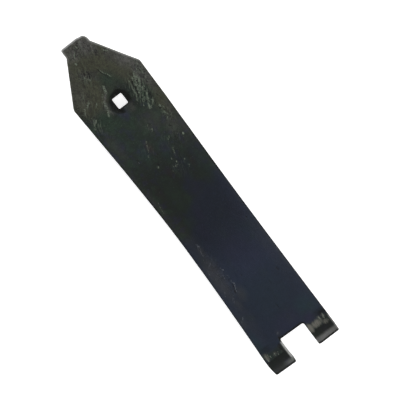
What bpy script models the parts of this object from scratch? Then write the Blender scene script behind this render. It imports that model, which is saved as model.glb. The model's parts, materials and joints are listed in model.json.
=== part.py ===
"""Deflector plate of a cultivator tine, one forged piece of flat bar.

The plate is made as a smith makes it. A flat blank is cut with a tongue and a tapered head at one
end and a notch between two tabs at the other. Its rims are broken, the square hole for a plough
bolt is punched and countersunk, and the blank is then bent: a gentle bow with a tighter bend in
the middle, and the two short tabs turned down as a lip that straddles the tine. Last it is laid
down as it comes to rest, front face up, on the belly of the bow.

Metres, +Z up. +X runs from the tongue to the tabs, and +Y across. The origin is under the middle
of the plate's box.
"""

import math

import bmesh
import bpy
import numpy as np
from mathutils import Vector

# The bar that the plate is cut from. A convex corner's radius is that of the flat face inside the
# rounded rim, which adds its own radius to it.
BAR_WIDTH = 0.080
BAR_THICKNESS = 0.008
RIM_RADIUS = 0.0010
RIM_STEPS = 2

# The tongue and the tapered head
TONGUE_WIDTH = 0.0270
TONGUE_LENGTH = 0.0080
TONGUE_OFF_CENTRE = 0.0007
TONGUE_SHARP_CORNER = 0.0006
TONGUE_WORN_CORNER = 0.0030
NECK_FILLET = 0.0015
TAPER_LENGTH = 0.0387
SHOULDER_RADIUS = 0.0040

# The square hole for the neck of a plough bolt, with a countersink for its head
HOLE_WIDTH = 0.0110
HOLE_CORNER = 0.0010
HOLE_FROM_SHOULDER = 0.0186
HOLE_OFF_CENTRE = 0.0004
COUNTERSINK_DIAMETER = 0.0250
COUNTERSINK_ANGLE = math.radians(90)
COUNTERSINK_STEPS = 40

# The bends, as lengths and radii of the front face, from the end of the tongue
HEAD_FLAT_LENGTH = 0.0900
UPPER_BOW_LENGTH = 0.0820
UPPER_BOW_RADIUS = 0.556
MIDDLE_BEND_LENGTH = 0.0600
MIDDLE_BEND_RADIUS = 0.225
LOWER_BOW_LENGTH = 0.1280
LOWER_BOW_RADIUS = 0.556
BOW_FACET_ANGLE = math.radians(1.3)

# The notch and the two tabs, which turn down away from the front face
NOTCH_WIDTH = 0.0288
NOTCH_BEFORE_BEND = 0.0050
NOTCH_CORNER = 0.0018
TAB_BEND_RADIUS = 0.0220
TAB_BEND_ANGLE = math.radians(50)
TAB_FACET_ANGLE = math.radians(5)
TAB_LEG_LENGTH = 0.0098
TAB_END_CORNER = 0.0010

# Shared by every cut and every rounded corner
CUT_OVERRUN = 0.0020
CORNER_STEP_ANGLE = math.radians(22.5)
MERGE_DISTANCE_SHARE = 0.001

PAINT_COLOUR = (0.030, 0.033, 0.036, 1.0)
PAINT_ROUGHNESS = 0.45
PAINT_METALLIC = 0.30


def clear_scene():
    """Remove every object of the open scene."""
    for item in list(bpy.data.objects):
        bpy.data.objects.remove(item, do_unlink=True)


def painted_steel():
    """Blue-black painted steel, slightly metallic where the paint is thin."""
    material = bpy.data.materials.new("blue_black_paint")
    material.use_nodes = True
    shader = material.node_tree.nodes["Principled BSDF"]
    shader.inputs["Base Color"].default_value = PAINT_COLOUR
    shader.inputs["Roughness"].default_value = PAINT_ROUGHNESS
    shader.inputs["Metallic"].default_value = PAINT_METALLIC
    return material


def rounded(corners):
    """Outline through corners of (point, radius), each rounded by a tangent arc of its radius."""
    outline = []
    count = len(corners)
    for index, (corner, radius) in enumerate(corners):
        corner = Vector(corner)
        back = (Vector(corners[index - 1][0]) - corner).normalized()
        ahead = (Vector(corners[(index + 1) % count][0]) - corner).normalized()
        inside = back.angle(ahead)
        turn = math.pi - inside
        centre = corner + (back + ahead).normalized() * (radius / math.sin(inside / 2))
        start = corner + back * (radius / math.tan(inside / 2))
        sweep = math.copysign(turn, back.x * ahead.y - back.y * ahead.x)
        steps = max(1, math.ceil(turn / CORNER_STEP_ANGLE))
        for step in range(steps + 1):
            angle = -sweep * step / steps
            arm = start - centre
            outline.append(centre + Vector((arm.x * math.cos(angle) - arm.y * math.sin(angle),
                                            arm.x * math.sin(angle) + arm.y * math.cos(angle))))
    return outline


def blank_outline():
    """Outline of the flat blank, counter-clockwise, with the end of the tongue at X zero."""
    tongue_low = -TONGUE_WIDTH / 2 - TONGUE_OFF_CENTRE
    tongue_high = TONGUE_WIDTH / 2 - TONGUE_OFF_CENTRE
    side = BAR_WIDTH / 2
    notch = NOTCH_WIDTH / 2
    shoulder_x = TONGUE_LENGTH + TAPER_LENGTH
    return rounded([
        ((0, tongue_high), RIM_RADIUS + TONGUE_WORN_CORNER),
        ((0, tongue_low), RIM_RADIUS + TONGUE_SHARP_CORNER),
        ((TONGUE_LENGTH, tongue_low), NECK_FILLET),
        ((shoulder_x, -side), RIM_RADIUS + SHOULDER_RADIUS),
        ((blank_length(), -side), RIM_RADIUS + TAB_END_CORNER),
        ((blank_length(), -notch), RIM_RADIUS + TAB_END_CORNER),
        ((notch_root_x(), -notch), NOTCH_CORNER),
        ((notch_root_x(), notch), NOTCH_CORNER),
        ((blank_length(), notch), RIM_RADIUS + TAB_END_CORNER),
        ((blank_length(), side), RIM_RADIUS + TAB_END_CORNER),
        ((shoulder_x, side), RIM_RADIUS + SHOULDER_RADIUS),
        ((TONGUE_LENGTH, tongue_high), NECK_FILLET),
    ])


def tab_bend_x():
    """Where the tabs begin to turn, along the flat blank."""
    return HEAD_FLAT_LENGTH + UPPER_BOW_LENGTH + MIDDLE_BEND_LENGTH + LOWER_BOW_LENGTH


def notch_root_x():
    """The root of the notch lies just before the tabs begin to turn."""
    return tab_bend_x() - NOTCH_BEFORE_BEND


def blank_length():
    """Length of the blank along its front face."""
    return tab_bend_x() + TAB_BEND_RADIUS * TAB_BEND_ANGLE + TAB_LEG_LENGTH


def flat_blank():
    """The blank: its outline pushed down by the thickness, with the rims rounded over."""
    mesh = bmesh.new()
    face = mesh.faces.new([mesh.verts.new((point.x, point.y, 0)) for point in blank_outline()])
    pushed = bmesh.ops.extrude_face_region(mesh, geom=[face])["geom"]
    moved = [item for item in pushed if isinstance(item, bmesh.types.BMVert)]
    bmesh.ops.translate(mesh, verts=moved, vec=(0, 0, -BAR_THICKNESS))
    bmesh.ops.recalc_face_normals(mesh, faces=mesh.faces)
    rims = [edge for edge in mesh.edges if edge.verts[0].co.z == edge.verts[1].co.z]
    bmesh.ops.bevel(mesh, geom=rims, offset=RIM_RADIUS, segments=RIM_STEPS, profile=0.5, affect="EDGES")
    return object_from(mesh, "deflector_plate")


def object_from(mesh, name):
    """An object in the scene with the given bmesh as its mesh."""
    data = bpy.data.meshes.new(name)
    mesh.to_mesh(data)
    mesh.free()
    item = bpy.data.objects.new(name, data)
    bpy.context.scene.collection.objects.link(item)
    return item


def hole_centre():
    """Centre of the square hole on the flat blank."""
    return TONGUE_LENGTH + TAPER_LENGTH + HOLE_FROM_SHOULDER, HOLE_OFF_CENTRE


def square_punch():
    """Square bar with rounded corners that punches the bolt's hole right through."""
    x, y = hole_centre()
    half = HOLE_WIDTH / 2
    corners = [((x - half, y - half), HOLE_CORNER), ((x + half, y - half), HOLE_CORNER),
               ((x + half, y + half), HOLE_CORNER), ((x - half, y + half), HOLE_CORNER)]
    mesh = bmesh.new()
    face = mesh.faces.new([mesh.verts.new((point.x, point.y, CUT_OVERRUN)) for point in rounded(corners)])
    pushed = bmesh.ops.extrude_face_region(mesh, geom=[face])["geom"]
    moved = [item for item in pushed if isinstance(item, bmesh.types.BMVert)]
    bmesh.ops.translate(mesh, verts=moved, vec=(0, 0, -BAR_THICKNESS - 2 * CUT_OVERRUN))
    bmesh.ops.recalc_face_normals(mesh, faces=mesh.faces)
    return object_from(mesh, "square_punch")


def countersink_tool():
    """Cone that sinks the bolt's head flush with the front face and narrows to the square hole."""
    x, y = hole_centre()
    spread = math.tan(COUNTERSINK_ANGLE / 2)
    mouth = COUNTERSINK_DIAMETER / 2 + CUT_OVERRUN * spread
    floor = HOLE_WIDTH / 2
    height = (mouth - floor) / spread
    mesh = bmesh.new()
    bmesh.ops.create_cone(mesh, cap_ends=True, segments=COUNTERSINK_STEPS, radius1=floor, radius2=mouth,
                          depth=height)
    bmesh.ops.translate(mesh, verts=mesh.verts, vec=(x, y, CUT_OVERRUN - height / 2))
    bmesh.ops.recalc_face_normals(mesh, faces=mesh.faces)
    return object_from(mesh, "countersink_tool")


def cut(item, tools):
    """Take each tool out of the item, and then take the tools out of the scene."""
    for tool in tools:
        tool.hide_render = True
        tool.display_type = "WIRE"
        boolean = item.modifiers.new(tool.name, "BOOLEAN")
        boolean.operation = "DIFFERENCE"
        boolean.solver = "EXACT"
        boolean.object = tool
    bpy.context.view_layer.update()
    seen = item.evaluated_get(bpy.context.evaluated_depsgraph_get())
    item.data = bpy.data.meshes.new_from_object(seen)
    item.modifiers.clear()
    for tool in tools:
        bpy.data.objects.remove(tool, do_unlink=True)


def side_profile():
    """Stations of the bent front face, as flat position, place in the side view and mitre vector.

    Each run of the bar is a straight or an arc, met by chords whose ends lie on the true arc. The
    mitre vector at a station points out of the front face, and is long enough that both faces of
    the two chords that meet there stay the bar's thickness apart.
    """
    runs = [
        (HEAD_FLAT_LENGTH, 0, BOW_FACET_ANGLE),
        (UPPER_BOW_LENGTH, UPPER_BOW_LENGTH / UPPER_BOW_RADIUS, BOW_FACET_ANGLE),
        (MIDDLE_BEND_LENGTH, MIDDLE_BEND_LENGTH / MIDDLE_BEND_RADIUS, BOW_FACET_ANGLE),
        (LOWER_BOW_LENGTH, LOWER_BOW_LENGTH / LOWER_BOW_RADIUS, BOW_FACET_ANGLE),
        (TAB_BEND_RADIUS * TAB_BEND_ANGLE, -TAB_BEND_ANGLE, TAB_FACET_ANGLE),
        (TAB_LEG_LENGTH, 0, TAB_FACET_ANGLE),
    ]
    flat = [0]
    place = [np.zeros(2)]
    chord_angles = []
    heading = 0
    for length, turn, facet_angle in runs:
        steps = max(1, math.ceil(abs(turn) / facet_angle))
        half_turn = turn / steps / 2
        chord = length / steps * (math.sin(half_turn) / half_turn if turn else 1)
        for _ in range(steps):
            chord_angles.append(heading + half_turn)
            place.append(place[-1] + chord * np.array((math.cos(heading + half_turn),
                                                       math.sin(heading + half_turn))))
            flat.append(flat[-1] + length / steps)
            heading += 2 * half_turn
    before = np.array([chord_angles[0]] + chord_angles)
    after = np.array(chord_angles + [chord_angles[-1]])
    middle = (before + after) / 2
    mitre = np.stack((-np.sin(middle), np.cos(middle)), axis=1) / np.cos((after - before) / 2)[:, None]
    return np.array(flat), np.array(place), mitre


def bend(item):
    """Score the flat plate across at every station, and fold it along the side profile."""
    flat, place, mitre = side_profile()
    mesh = bmesh.new()
    mesh.from_mesh(item.data)
    for station in flat[1:-1]:
        everything = list(mesh.verts) + list(mesh.edges) + list(mesh.faces)
        bmesh.ops.bisect_plane(mesh, geom=everything, plane_co=(station, 0, 0), plane_no=(1, 0, 0))
    bmesh.ops.remove_doubles(mesh, verts=mesh.verts, dist=RIM_RADIUS * MERGE_DISTANCE_SHARE)
    for vert in mesh.verts:
        along, across, depth = vert.co
        x = np.interp(along, flat, place[:, 0]) + depth * np.interp(along, flat, mitre[:, 0])
        z = np.interp(along, flat, place[:, 1]) + depth * np.interp(along, flat, mitre[:, 1])
        vert.co = (x, across, z)
    mesh.to_mesh(item.data)
    mesh.free()


def triangles_of(item):
    """Corners of every triangle of the object, as an array of triangle, corner and axis."""
    item.data.calc_loop_triangles()
    corners = np.array([vert.co for vert in item.data.vertices])
    return corners[np.array([triangle.vertices for triangle in item.data.loop_triangles])]


def centre_of_mass(item):
    """Mean place of the solid: each face closes a thin pyramid with the origin."""
    a, b, c = np.moveaxis(triangles_of(item), 1, 0)
    volume = np.einsum("ij,ij->i", a, np.cross(b, c)) / 6
    return ((a + b + c) / 4 * volume[:, None]).sum(axis=0) / volume.sum()


def lay_down(item):
    """Turn the plate about Y until it lies on what carries its centre of mass, and centre it.

    In the side view the plate can lie on any edge of its convex outline that faces down. It comes
    to rest on the one that has the centre of mass between its ends.
    """
    points = np.unique(triangles_of(item).reshape(-1, 3)[:, ::2], axis=0)
    centre = centre_of_mass(item)[::2]
    tolerance = BAR_THICKNESS * MERGE_DISTANCE_SHARE
    slope = 0
    for start in points:
        for end in points[points[:, 0] > start[0] + tolerance]:
            along = (end - start) / np.hypot(*(end - start))
            up = np.array((-along[1], along[0]))
            carries = 0 <= (centre - start) @ along <= (end - start) @ along
            if carries and ((points - start) @ up).min() > -tolerance:
                slope = math.atan2(along[1], along[0])
    turned = [Vector((vert.co.x * math.cos(slope) + vert.co.z * math.sin(slope), vert.co.y,
                      vert.co.z * math.cos(slope) - vert.co.x * math.sin(slope)))
              for vert in item.data.vertices]
    low = Vector([min(place[axis] for place in turned) for axis in range(3)])
    high = Vector([max(place[axis] for place in turned) for axis in range(3)])
    origin = Vector(((low.x + high.x) / 2, (low.y + high.y) / 2, low.z))
    for vert, place in zip(item.data.vertices, turned):
        vert.co = place - origin


def deflector_plate():
    """The whole plate: cut, punched, bent and laid down."""
    plate = flat_blank()
    cut(plate, [countersink_tool(), square_punch()])
    bend(plate)
    lay_down(plate)
    plate.data.materials.clear()
    plate.data.materials.append(painted_steel())
    plate.data.shade_smooth()
    plate.data.set_sharp_from_angle(angle=math.radians(30))
    return plate


clear_scene()
deflector_plate()
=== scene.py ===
"""The dressed deflector plate: forged surface with its wear, thin dark paint with painted shade and
highlights, and a plain studio.

The plate's surface is worked out in the flat, in the coordinates of the blank that it is cut from
(along from the tongue's end, across, and depth below the front face), because the forging marks,
the scratches and the paint follow the bar and not the room. Painted shade, painted highlights and
a painted floor reflection are laid out there too, though they stand for the room's light. It is
then bent along the same straights and arcs as the solid, laid down as the solid lies, and set into
the solid's box.

Metres, +Z up. +X runs from the tongue to the tabs, and +Y across.
"""

import json
import logging
import math
from dataclasses import dataclass, field
from enum import Enum

import bpy
import numpy as np
from mathutils import Matrix, Vector


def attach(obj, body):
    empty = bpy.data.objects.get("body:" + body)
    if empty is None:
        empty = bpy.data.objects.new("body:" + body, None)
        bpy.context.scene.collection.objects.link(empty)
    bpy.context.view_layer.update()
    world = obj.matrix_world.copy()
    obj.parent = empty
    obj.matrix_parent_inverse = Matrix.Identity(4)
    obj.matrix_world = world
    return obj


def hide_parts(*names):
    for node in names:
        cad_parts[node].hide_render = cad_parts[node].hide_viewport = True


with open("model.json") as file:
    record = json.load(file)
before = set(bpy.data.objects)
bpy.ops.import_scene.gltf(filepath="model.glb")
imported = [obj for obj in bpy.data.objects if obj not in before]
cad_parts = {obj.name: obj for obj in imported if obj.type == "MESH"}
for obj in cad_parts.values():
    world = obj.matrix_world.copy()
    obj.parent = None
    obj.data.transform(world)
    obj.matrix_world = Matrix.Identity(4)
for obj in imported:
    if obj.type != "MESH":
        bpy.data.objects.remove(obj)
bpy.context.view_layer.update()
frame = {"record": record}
BODY = "root"
NODE = "deflector_plate"
END_MOUNT = "tongue_end"
FLAT_PLACE = "flat_place"
MM = 0.001

log = logging.getLogger("deflector_plate")


class Mask(Enum):
    """Named shares of the surface, from 0 to 1 at each point, that the finish reads."""

    OLIVE = "olive_share"
    GREEN = "green_share"
    # grey scale, and a painted sheen near the long edges and on the lower part
    GREY_AND_SHEEN = "grey_and_sheen_share"
    TEAL = "teal_share"
    PURPLE = "purple_share"
    RED = "red_share"
    BLUE = "blue_share"
    # painted shade
    SHADE = "shade_share"
    ROUGH = "rough_share"
    STREAKS = "streak_share"
    LIGHT = "light_mark_share"
    PITS = "dark_mark_share"
    # rubbed paint, and a painted reflection of the white floor on the tabs' legs
    WORN_AND_REFLECTED = "worn_and_reflected_share"
    # painted shade in black
    BLACK_SHADE = "black_shade_share"
    # bare edges with a painted highlight
    EDGE = "bare_edge_highlight_share"
    # brush-marked steel with a painted highlight, where the tabs begin to bend
    BRUSHED_AND_HIGHLIGHT = "brushed_and_highlight_share"


def smooth_step(values: np.ndarray, low: float | np.ndarray, high: float | np.ndarray) -> np.ndarray:
    """Rise from 0 at low to 1 at high, as 3t^2 - 2t^3.

    Args:
        values: any array.
        low: where the rise starts; it may be above high, and the step then falls.
        high: where the rise ends.

    Returns:
        An array of the same shape, from 0 to 1.
    """
    share = np.clip((values - low) / (high - low), 0, 1)
    return share * share * (3 - 2 * share)


class Way(Enum):
    """What a limit on the flat blank is measured along."""

    ALONG = "along"
    ACROSS = "across"
    OFF_MIDDLE = "off_middle"
    EDGE = "edge"
    DEPTH = "depth"


def places(flat: np.ndarray, edge: np.ndarray | None = None) -> dict[Way, np.ndarray]:
    """Where each point lies, by what it is measured along.

    Args:
        flat: points as rows of along, across and depth, in metres.
        edge: distance from the outline, where it is wanted.

    Returns:
        One array for each way.
    """
    along, across, depth = flat.T
    return {Way.ALONG: along, Way.ACROSS: across, Way.OFF_MIDDLE: np.abs(across), Way.DEPTH: depth,
            Way.EDGE: edge}


@dataclass(frozen=True)
class Limit:
    """One smooth step of a zone, in metres: 0 at low, 1 at high, and moved by noise where ragged."""

    way: Way
    low: float
    high: float
    ragged: float = 0.0


@dataclass(frozen=True)
class Zone:
    """A soft zone of the flat blank: its strength times the smooth step at each of its limits."""

    strength: float
    limits: tuple[Limit, ...]

    def share(self, place: dict[Way, np.ndarray], noise: np.ndarray | float = 0.0) -> np.ndarray:
        """The zone at every point.

        Args:
            place: where the points lie.
            noise: what moves the ragged limits.

        Returns:
            One value for each point, from 0 to the strength.
        """
        total = np.full(len(place[Way.ALONG]), self.strength)
        for limit in self.limits:
            total *= smooth_step(place[limit.way] + limit.ragged * noise, limit.low, limit.high)
        return total


def zone(strength: float, *limits: tuple[Way, float, float] | tuple[Way, float, float, float]) -> Zone:
    """A zone from its strength and a row for each limit: way, low, high and raggedness."""
    return Zone(strength, tuple(Limit(*limit) for limit in limits))


class Lattice:
    """Smooth noise on a lattice of random slopes, the same at each run for the same seed."""

    SIZE = 256
    SPREAD = 1.7
    LAYER_SHIFT = 17.3

    def __init__(self, seed: int) -> None:
        """Draw the lattice's slopes.

        Args:
            seed: what the random draw starts from.
        """
        draw = np.random.default_rng(seed)
        self.order = draw.permutation(self.SIZE)
        slopes = draw.normal(size=(self.SIZE, 3))
        self.slopes = slopes / np.linalg.norm(slopes, axis=1)[:, None]

    def at(self, places: np.ndarray, cell: float | tuple[float, float, float]) -> np.ndarray:
        """Noise from about -1 to 1, in lumps about one cell wide.

        Each of the eight corners of a cell gives its slope times the way from it, and the eight
        are blended by 6t^5 - 15t^4 + 10t^3 along each axis.

        Args:
            places: points, as rows of three.
            cell: the width of a cell, in the points' unit, or one width for each axis.

        Returns:
            One value for each point.
        """
        scaled = places / np.asarray(cell, float)
        base = np.floor(scaled).astype(int)
        way = scaled - base
        fade = way**3 * (way * (way * 6 - 15) + 10)
        total = np.zeros(len(places))
        for corner in np.ndindex(2, 2, 2):
            index = self.order[(base[:, 0] + corner[0]) % self.SIZE]
            index = self.order[(index + base[:, 1] + corner[1]) % self.SIZE]
            index = self.order[(index + base[:, 2] + corner[2]) % self.SIZE]
            lean = ((way - corner) * self.slopes[index]).sum(axis=1)
            total += lean * np.prod(np.where(np.array(corner) == 1, fade, 1 - fade), axis=1)
        return total * self.SPREAD

    def layers(self, places: np.ndarray, cell: float, count: int, falloff: float = 0.5) -> np.ndarray:
        """Several sizes of noise on one another, each half as wide as the last and weaker.

        Args:
            places: points, as rows of three.
            cell: the width of the widest lumps.
            count: how many sizes.
            falloff: the strength of each size as a share of the last one's.

        Returns:
            One value for each point, from about -1 to 1.
        """
        total = np.zeros(len(places))
        weight = 0.0
        for step in range(count):
            strength = falloff**step
            total += strength * self.at(places + self.LAYER_SHIFT * step * cell, cell / 2**step)
            weight += strength
        return total / weight


@dataclass(frozen=True)
class Blank:
    """Sizes of the flat blank, in metres, as in the solid."""

    width: float = 0.080
    thickness: float = 0.008
    rim: float = 0.0010
    tongue_width: float = 0.0270
    tongue_length: float = 0.0080
    tongue_off_centre: float = 0.0007
    tongue_sharp_corner: float = 0.0006
    tongue_worn_corner: float = 0.0030
    neck_fillet: float = 0.0015
    taper_length: float = 0.0387
    shoulder_radius: float = 0.0040
    hole_width: float = 0.0110
    hole_corner: float = 0.0010
    hole_from_shoulder: float = 0.0186
    hole_off_centre: float = 0.0004
    countersink_diameter: float = 0.0250
    notch_width: float = 0.0288
    notch_before_bend: float = 0.0050
    notch_corner: float = 0.0018
    tab_end_corner: float = 0.0010
    corner_step: float = math.radians(7.5)

    @property
    def hole(self) -> np.ndarray:
        """Centre of the square hole."""
        along = self.tongue_length + self.taper_length + self.hole_from_shoulder
        return np.array([along, self.hole_off_centre])

    def notch_root(self, bends: "Bends") -> float:
        """Where the notch ends, just before the tabs begin to turn."""
        return bends.tab_start - self.notch_before_bend

    def outline(self, bends: "Bends") -> np.ndarray:
        """The blank's outline, counter-clockwise from the tongue's worn corner.

        Each corner is an arc tangent to its two sides, from the side that comes in to the side
        that goes out.

        Args:
            bends: the bends, which give the blank its length.

        Returns:
            Points of the outline, as rows of along and across.
        """
        low = -self.tongue_width / 2 - self.tongue_off_centre
        high = self.tongue_width / 2 - self.tongue_off_centre
        side, notch, end = self.width / 2, self.notch_width / 2, bends.length
        shoulder = self.tongue_length + self.taper_length
        root = self.notch_root(bends)
        corners = [
            ((0, high), self.rim + self.tongue_worn_corner),
            ((0, low), self.rim + self.tongue_sharp_corner),
            ((self.tongue_length, low), self.neck_fillet),
            ((shoulder, -side), self.rim + self.shoulder_radius),
            ((end, -side), self.rim + self.tab_end_corner),
            ((end, -notch), self.rim + self.tab_end_corner),
            ((root, -notch), self.notch_corner),
            ((root, notch), self.notch_corner),
            ((end, notch), self.rim + self.tab_end_corner),
            ((end, side), self.rim + self.tab_end_corner),
            ((shoulder, side), self.rim + self.shoulder_radius),
            ((self.tongue_length, high), self.neck_fillet),
        ]
        return np.concatenate([self._arc(corners, index) for index in range(len(corners))])

    def _arc(self, corners: list[tuple[tuple[float, float], float]], index: int) -> np.ndarray:
        """Points of the arc that rounds one corner.

        Args:
            corners: every corner of the outline, as its point and its radius.
            index: which of them.

        Returns:
            Points of the arc, as rows of along and across.
        """
        corner, radius = np.array(corners[index][0], float), corners[index][1]
        back = np.array(corners[index - 1][0]) - corner
        ahead = np.array(corners[(index + 1) % len(corners)][0]) - corner
        back, ahead = back / np.linalg.norm(back), ahead / np.linalg.norm(ahead)
        inside = math.acos(float(back @ ahead))
        middle = (back + ahead) / np.linalg.norm(back + ahead)
        centre = corner + middle * radius / math.sin(inside / 2)
        arm = corner + back * radius / math.tan(inside / 2) - centre
        sweep = -math.copysign(math.pi - inside, back[0] * ahead[1] - back[1] * ahead[0])
        turn = np.linspace(0, sweep, max(2, math.ceil(abs(sweep) / self.corner_step) + 1))
        return centre + np.stack((arm[0] * np.cos(turn) - arm[1] * np.sin(turn),
                                  arm[0] * np.sin(turn) + arm[1] * np.cos(turn)), axis=1)

    def square_reach(self, angle: np.ndarray) -> np.ndarray:
        """How far the rounded square of the hole reaches from its centre in each direction.

        Along a flat side it is half the width over the larger of the cosine and the sine. At a
        corner it is the far crossing of the ray with the corner's circle.

        Args:
            angle: directions, in radians.

        Returns:
            The distance in each direction.
        """
        half, corner = self.hole_width / 2, self.hole_corner
        ray = np.abs(np.stack((np.cos(angle), np.sin(angle)), axis=1))
        flat = half / ray.max(axis=1)
        centre = half - corner
        along = centre * ray.sum(axis=1)
        rounded = along + np.sqrt(np.maximum(along**2 - 2 * centre**2 + corner**2, 0))
        return np.where(flat * ray.min(axis=1) <= centre, flat, rounded)


@dataclass(frozen=True)
class Bends:
    """The side view: lengths and radii of the front face, from the tongue's end, in metres."""

    head_flat: float = 0.0900
    upper_bow: float = 0.0820
    upper_radius: float = 0.556
    middle_bend: float = 0.0600
    middle_radius: float = 0.225
    lower_bow: float = 0.1280
    lower_radius: float = 0.556
    tab_radius: float = 0.0220
    tab_angle: float = math.radians(50)
    tab_leg: float = 0.0098

    @property
    def tab_start(self) -> float:
        """Where the tabs begin to turn."""
        return self.head_flat + self.upper_bow + self.middle_bend + self.lower_bow

    @property
    def length(self) -> float:
        """Length of the whole blank."""
        return self.tab_start + self.tab_radius * self.tab_angle + self.tab_leg

    def runs(self) -> np.ndarray:
        """Each run of the side view, from the tongue's end to the tabs' ends.

        Returns:
            Rows of a run's length and the angle that it turns.
        """
        return np.array([
            (self.head_flat, 0),
            (self.upper_bow, self.upper_bow / self.upper_radius),
            (self.middle_bend, self.middle_bend / self.middle_radius),
            (self.lower_bow, self.lower_bow / self.lower_radius),
            (self.tab_radius * self.tab_angle, -self.tab_angle),
            (self.tab_leg, 0),
        ])

    def fold(self, flat: np.ndarray) -> np.ndarray:
        """Bend points of the flat blank, with the head level.

        Within a run that has gone a length s and turns with curvature k from heading h, the front
        face lies at (sin(h + ks) - sin h, cos h - cos(h + ks)) / k from the run's start, which is
        s times the mean heading's direction times sin(ks/2) / (ks/2). A point below the front face
        lies its depth along the normal there.

        Args:
            flat: points as rows of along, across and depth, where depth is 0 or below.

        Returns:
            The bent points, as rows of X, Y and Z.
        """
        length, turn = self.runs().T
        start = np.concatenate(([0], np.cumsum(length)[:-1]))
        heading = np.concatenate(([0], np.cumsum(turn)[:-1]))
        middle = heading + turn / 2
        chord = length * np.sinc(turn / 2 / np.pi)
        steps = np.stack((chord * np.cos(middle), chord * np.sin(middle)), axis=1)
        corner = np.concatenate((np.zeros((1, 2)), np.cumsum(steps, axis=0)[:-1]))
        run = np.clip(np.searchsorted(start, flat[:, 0], side="right") - 1, 0, len(start) - 1)
        gone = flat[:, 0] - start[run]
        turned = turn[run] * gone / length[run]
        mean = heading[run] + turned / 2
        reach = gone * np.sinc(turned / 2 / np.pi)
        final = heading[run] + turned
        x = corner[run, 0] + reach * np.cos(mean) - flat[:, 2] * np.sin(final)
        z = corner[run, 1] + reach * np.sin(mean) + flat[:, 2] * np.cos(final)
        return np.stack((x, flat[:, 1], z), axis=1)


@dataclass(frozen=True)
class Mark:
    """A straight scratch, crease or speck on the front face, in millimetres of the flat blank."""

    start: tuple[float, float]
    end: tuple[float, float]
    width: float
    strength: float

    def share(self, flat: np.ndarray) -> np.ndarray:
        """How far in the mark each point is: 1 on its line, falling as exp(-(distance / width)^2).

        Args:
            flat: points as rows of along, across and depth, in metres.

        Returns:
            One share for each point; the back face has none.
        """
        start, end = MM * np.array(self.start), MM * np.array(self.end)
        width = MM * self.width
        way = end - start
        share = np.clip(((flat[:, :2] - start) @ way) / (way @ way), 0, 1)
        off = np.linalg.norm(flat[:, :2] - start - share[:, None] * way, axis=1)
        return self.strength * np.exp(-((off / width) ** 2)) * (flat[:, 2] > -2 * width)


def marks(*rows: tuple[float, float, float, float, float, float]) -> tuple[Mark, ...]:
    """Marks from rows of millimetres: along and across of both ends, width, then strength."""
    return tuple(Mark((a, b), (c, d), width, strength) for a, b, c, d, width, strength in rows)


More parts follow.
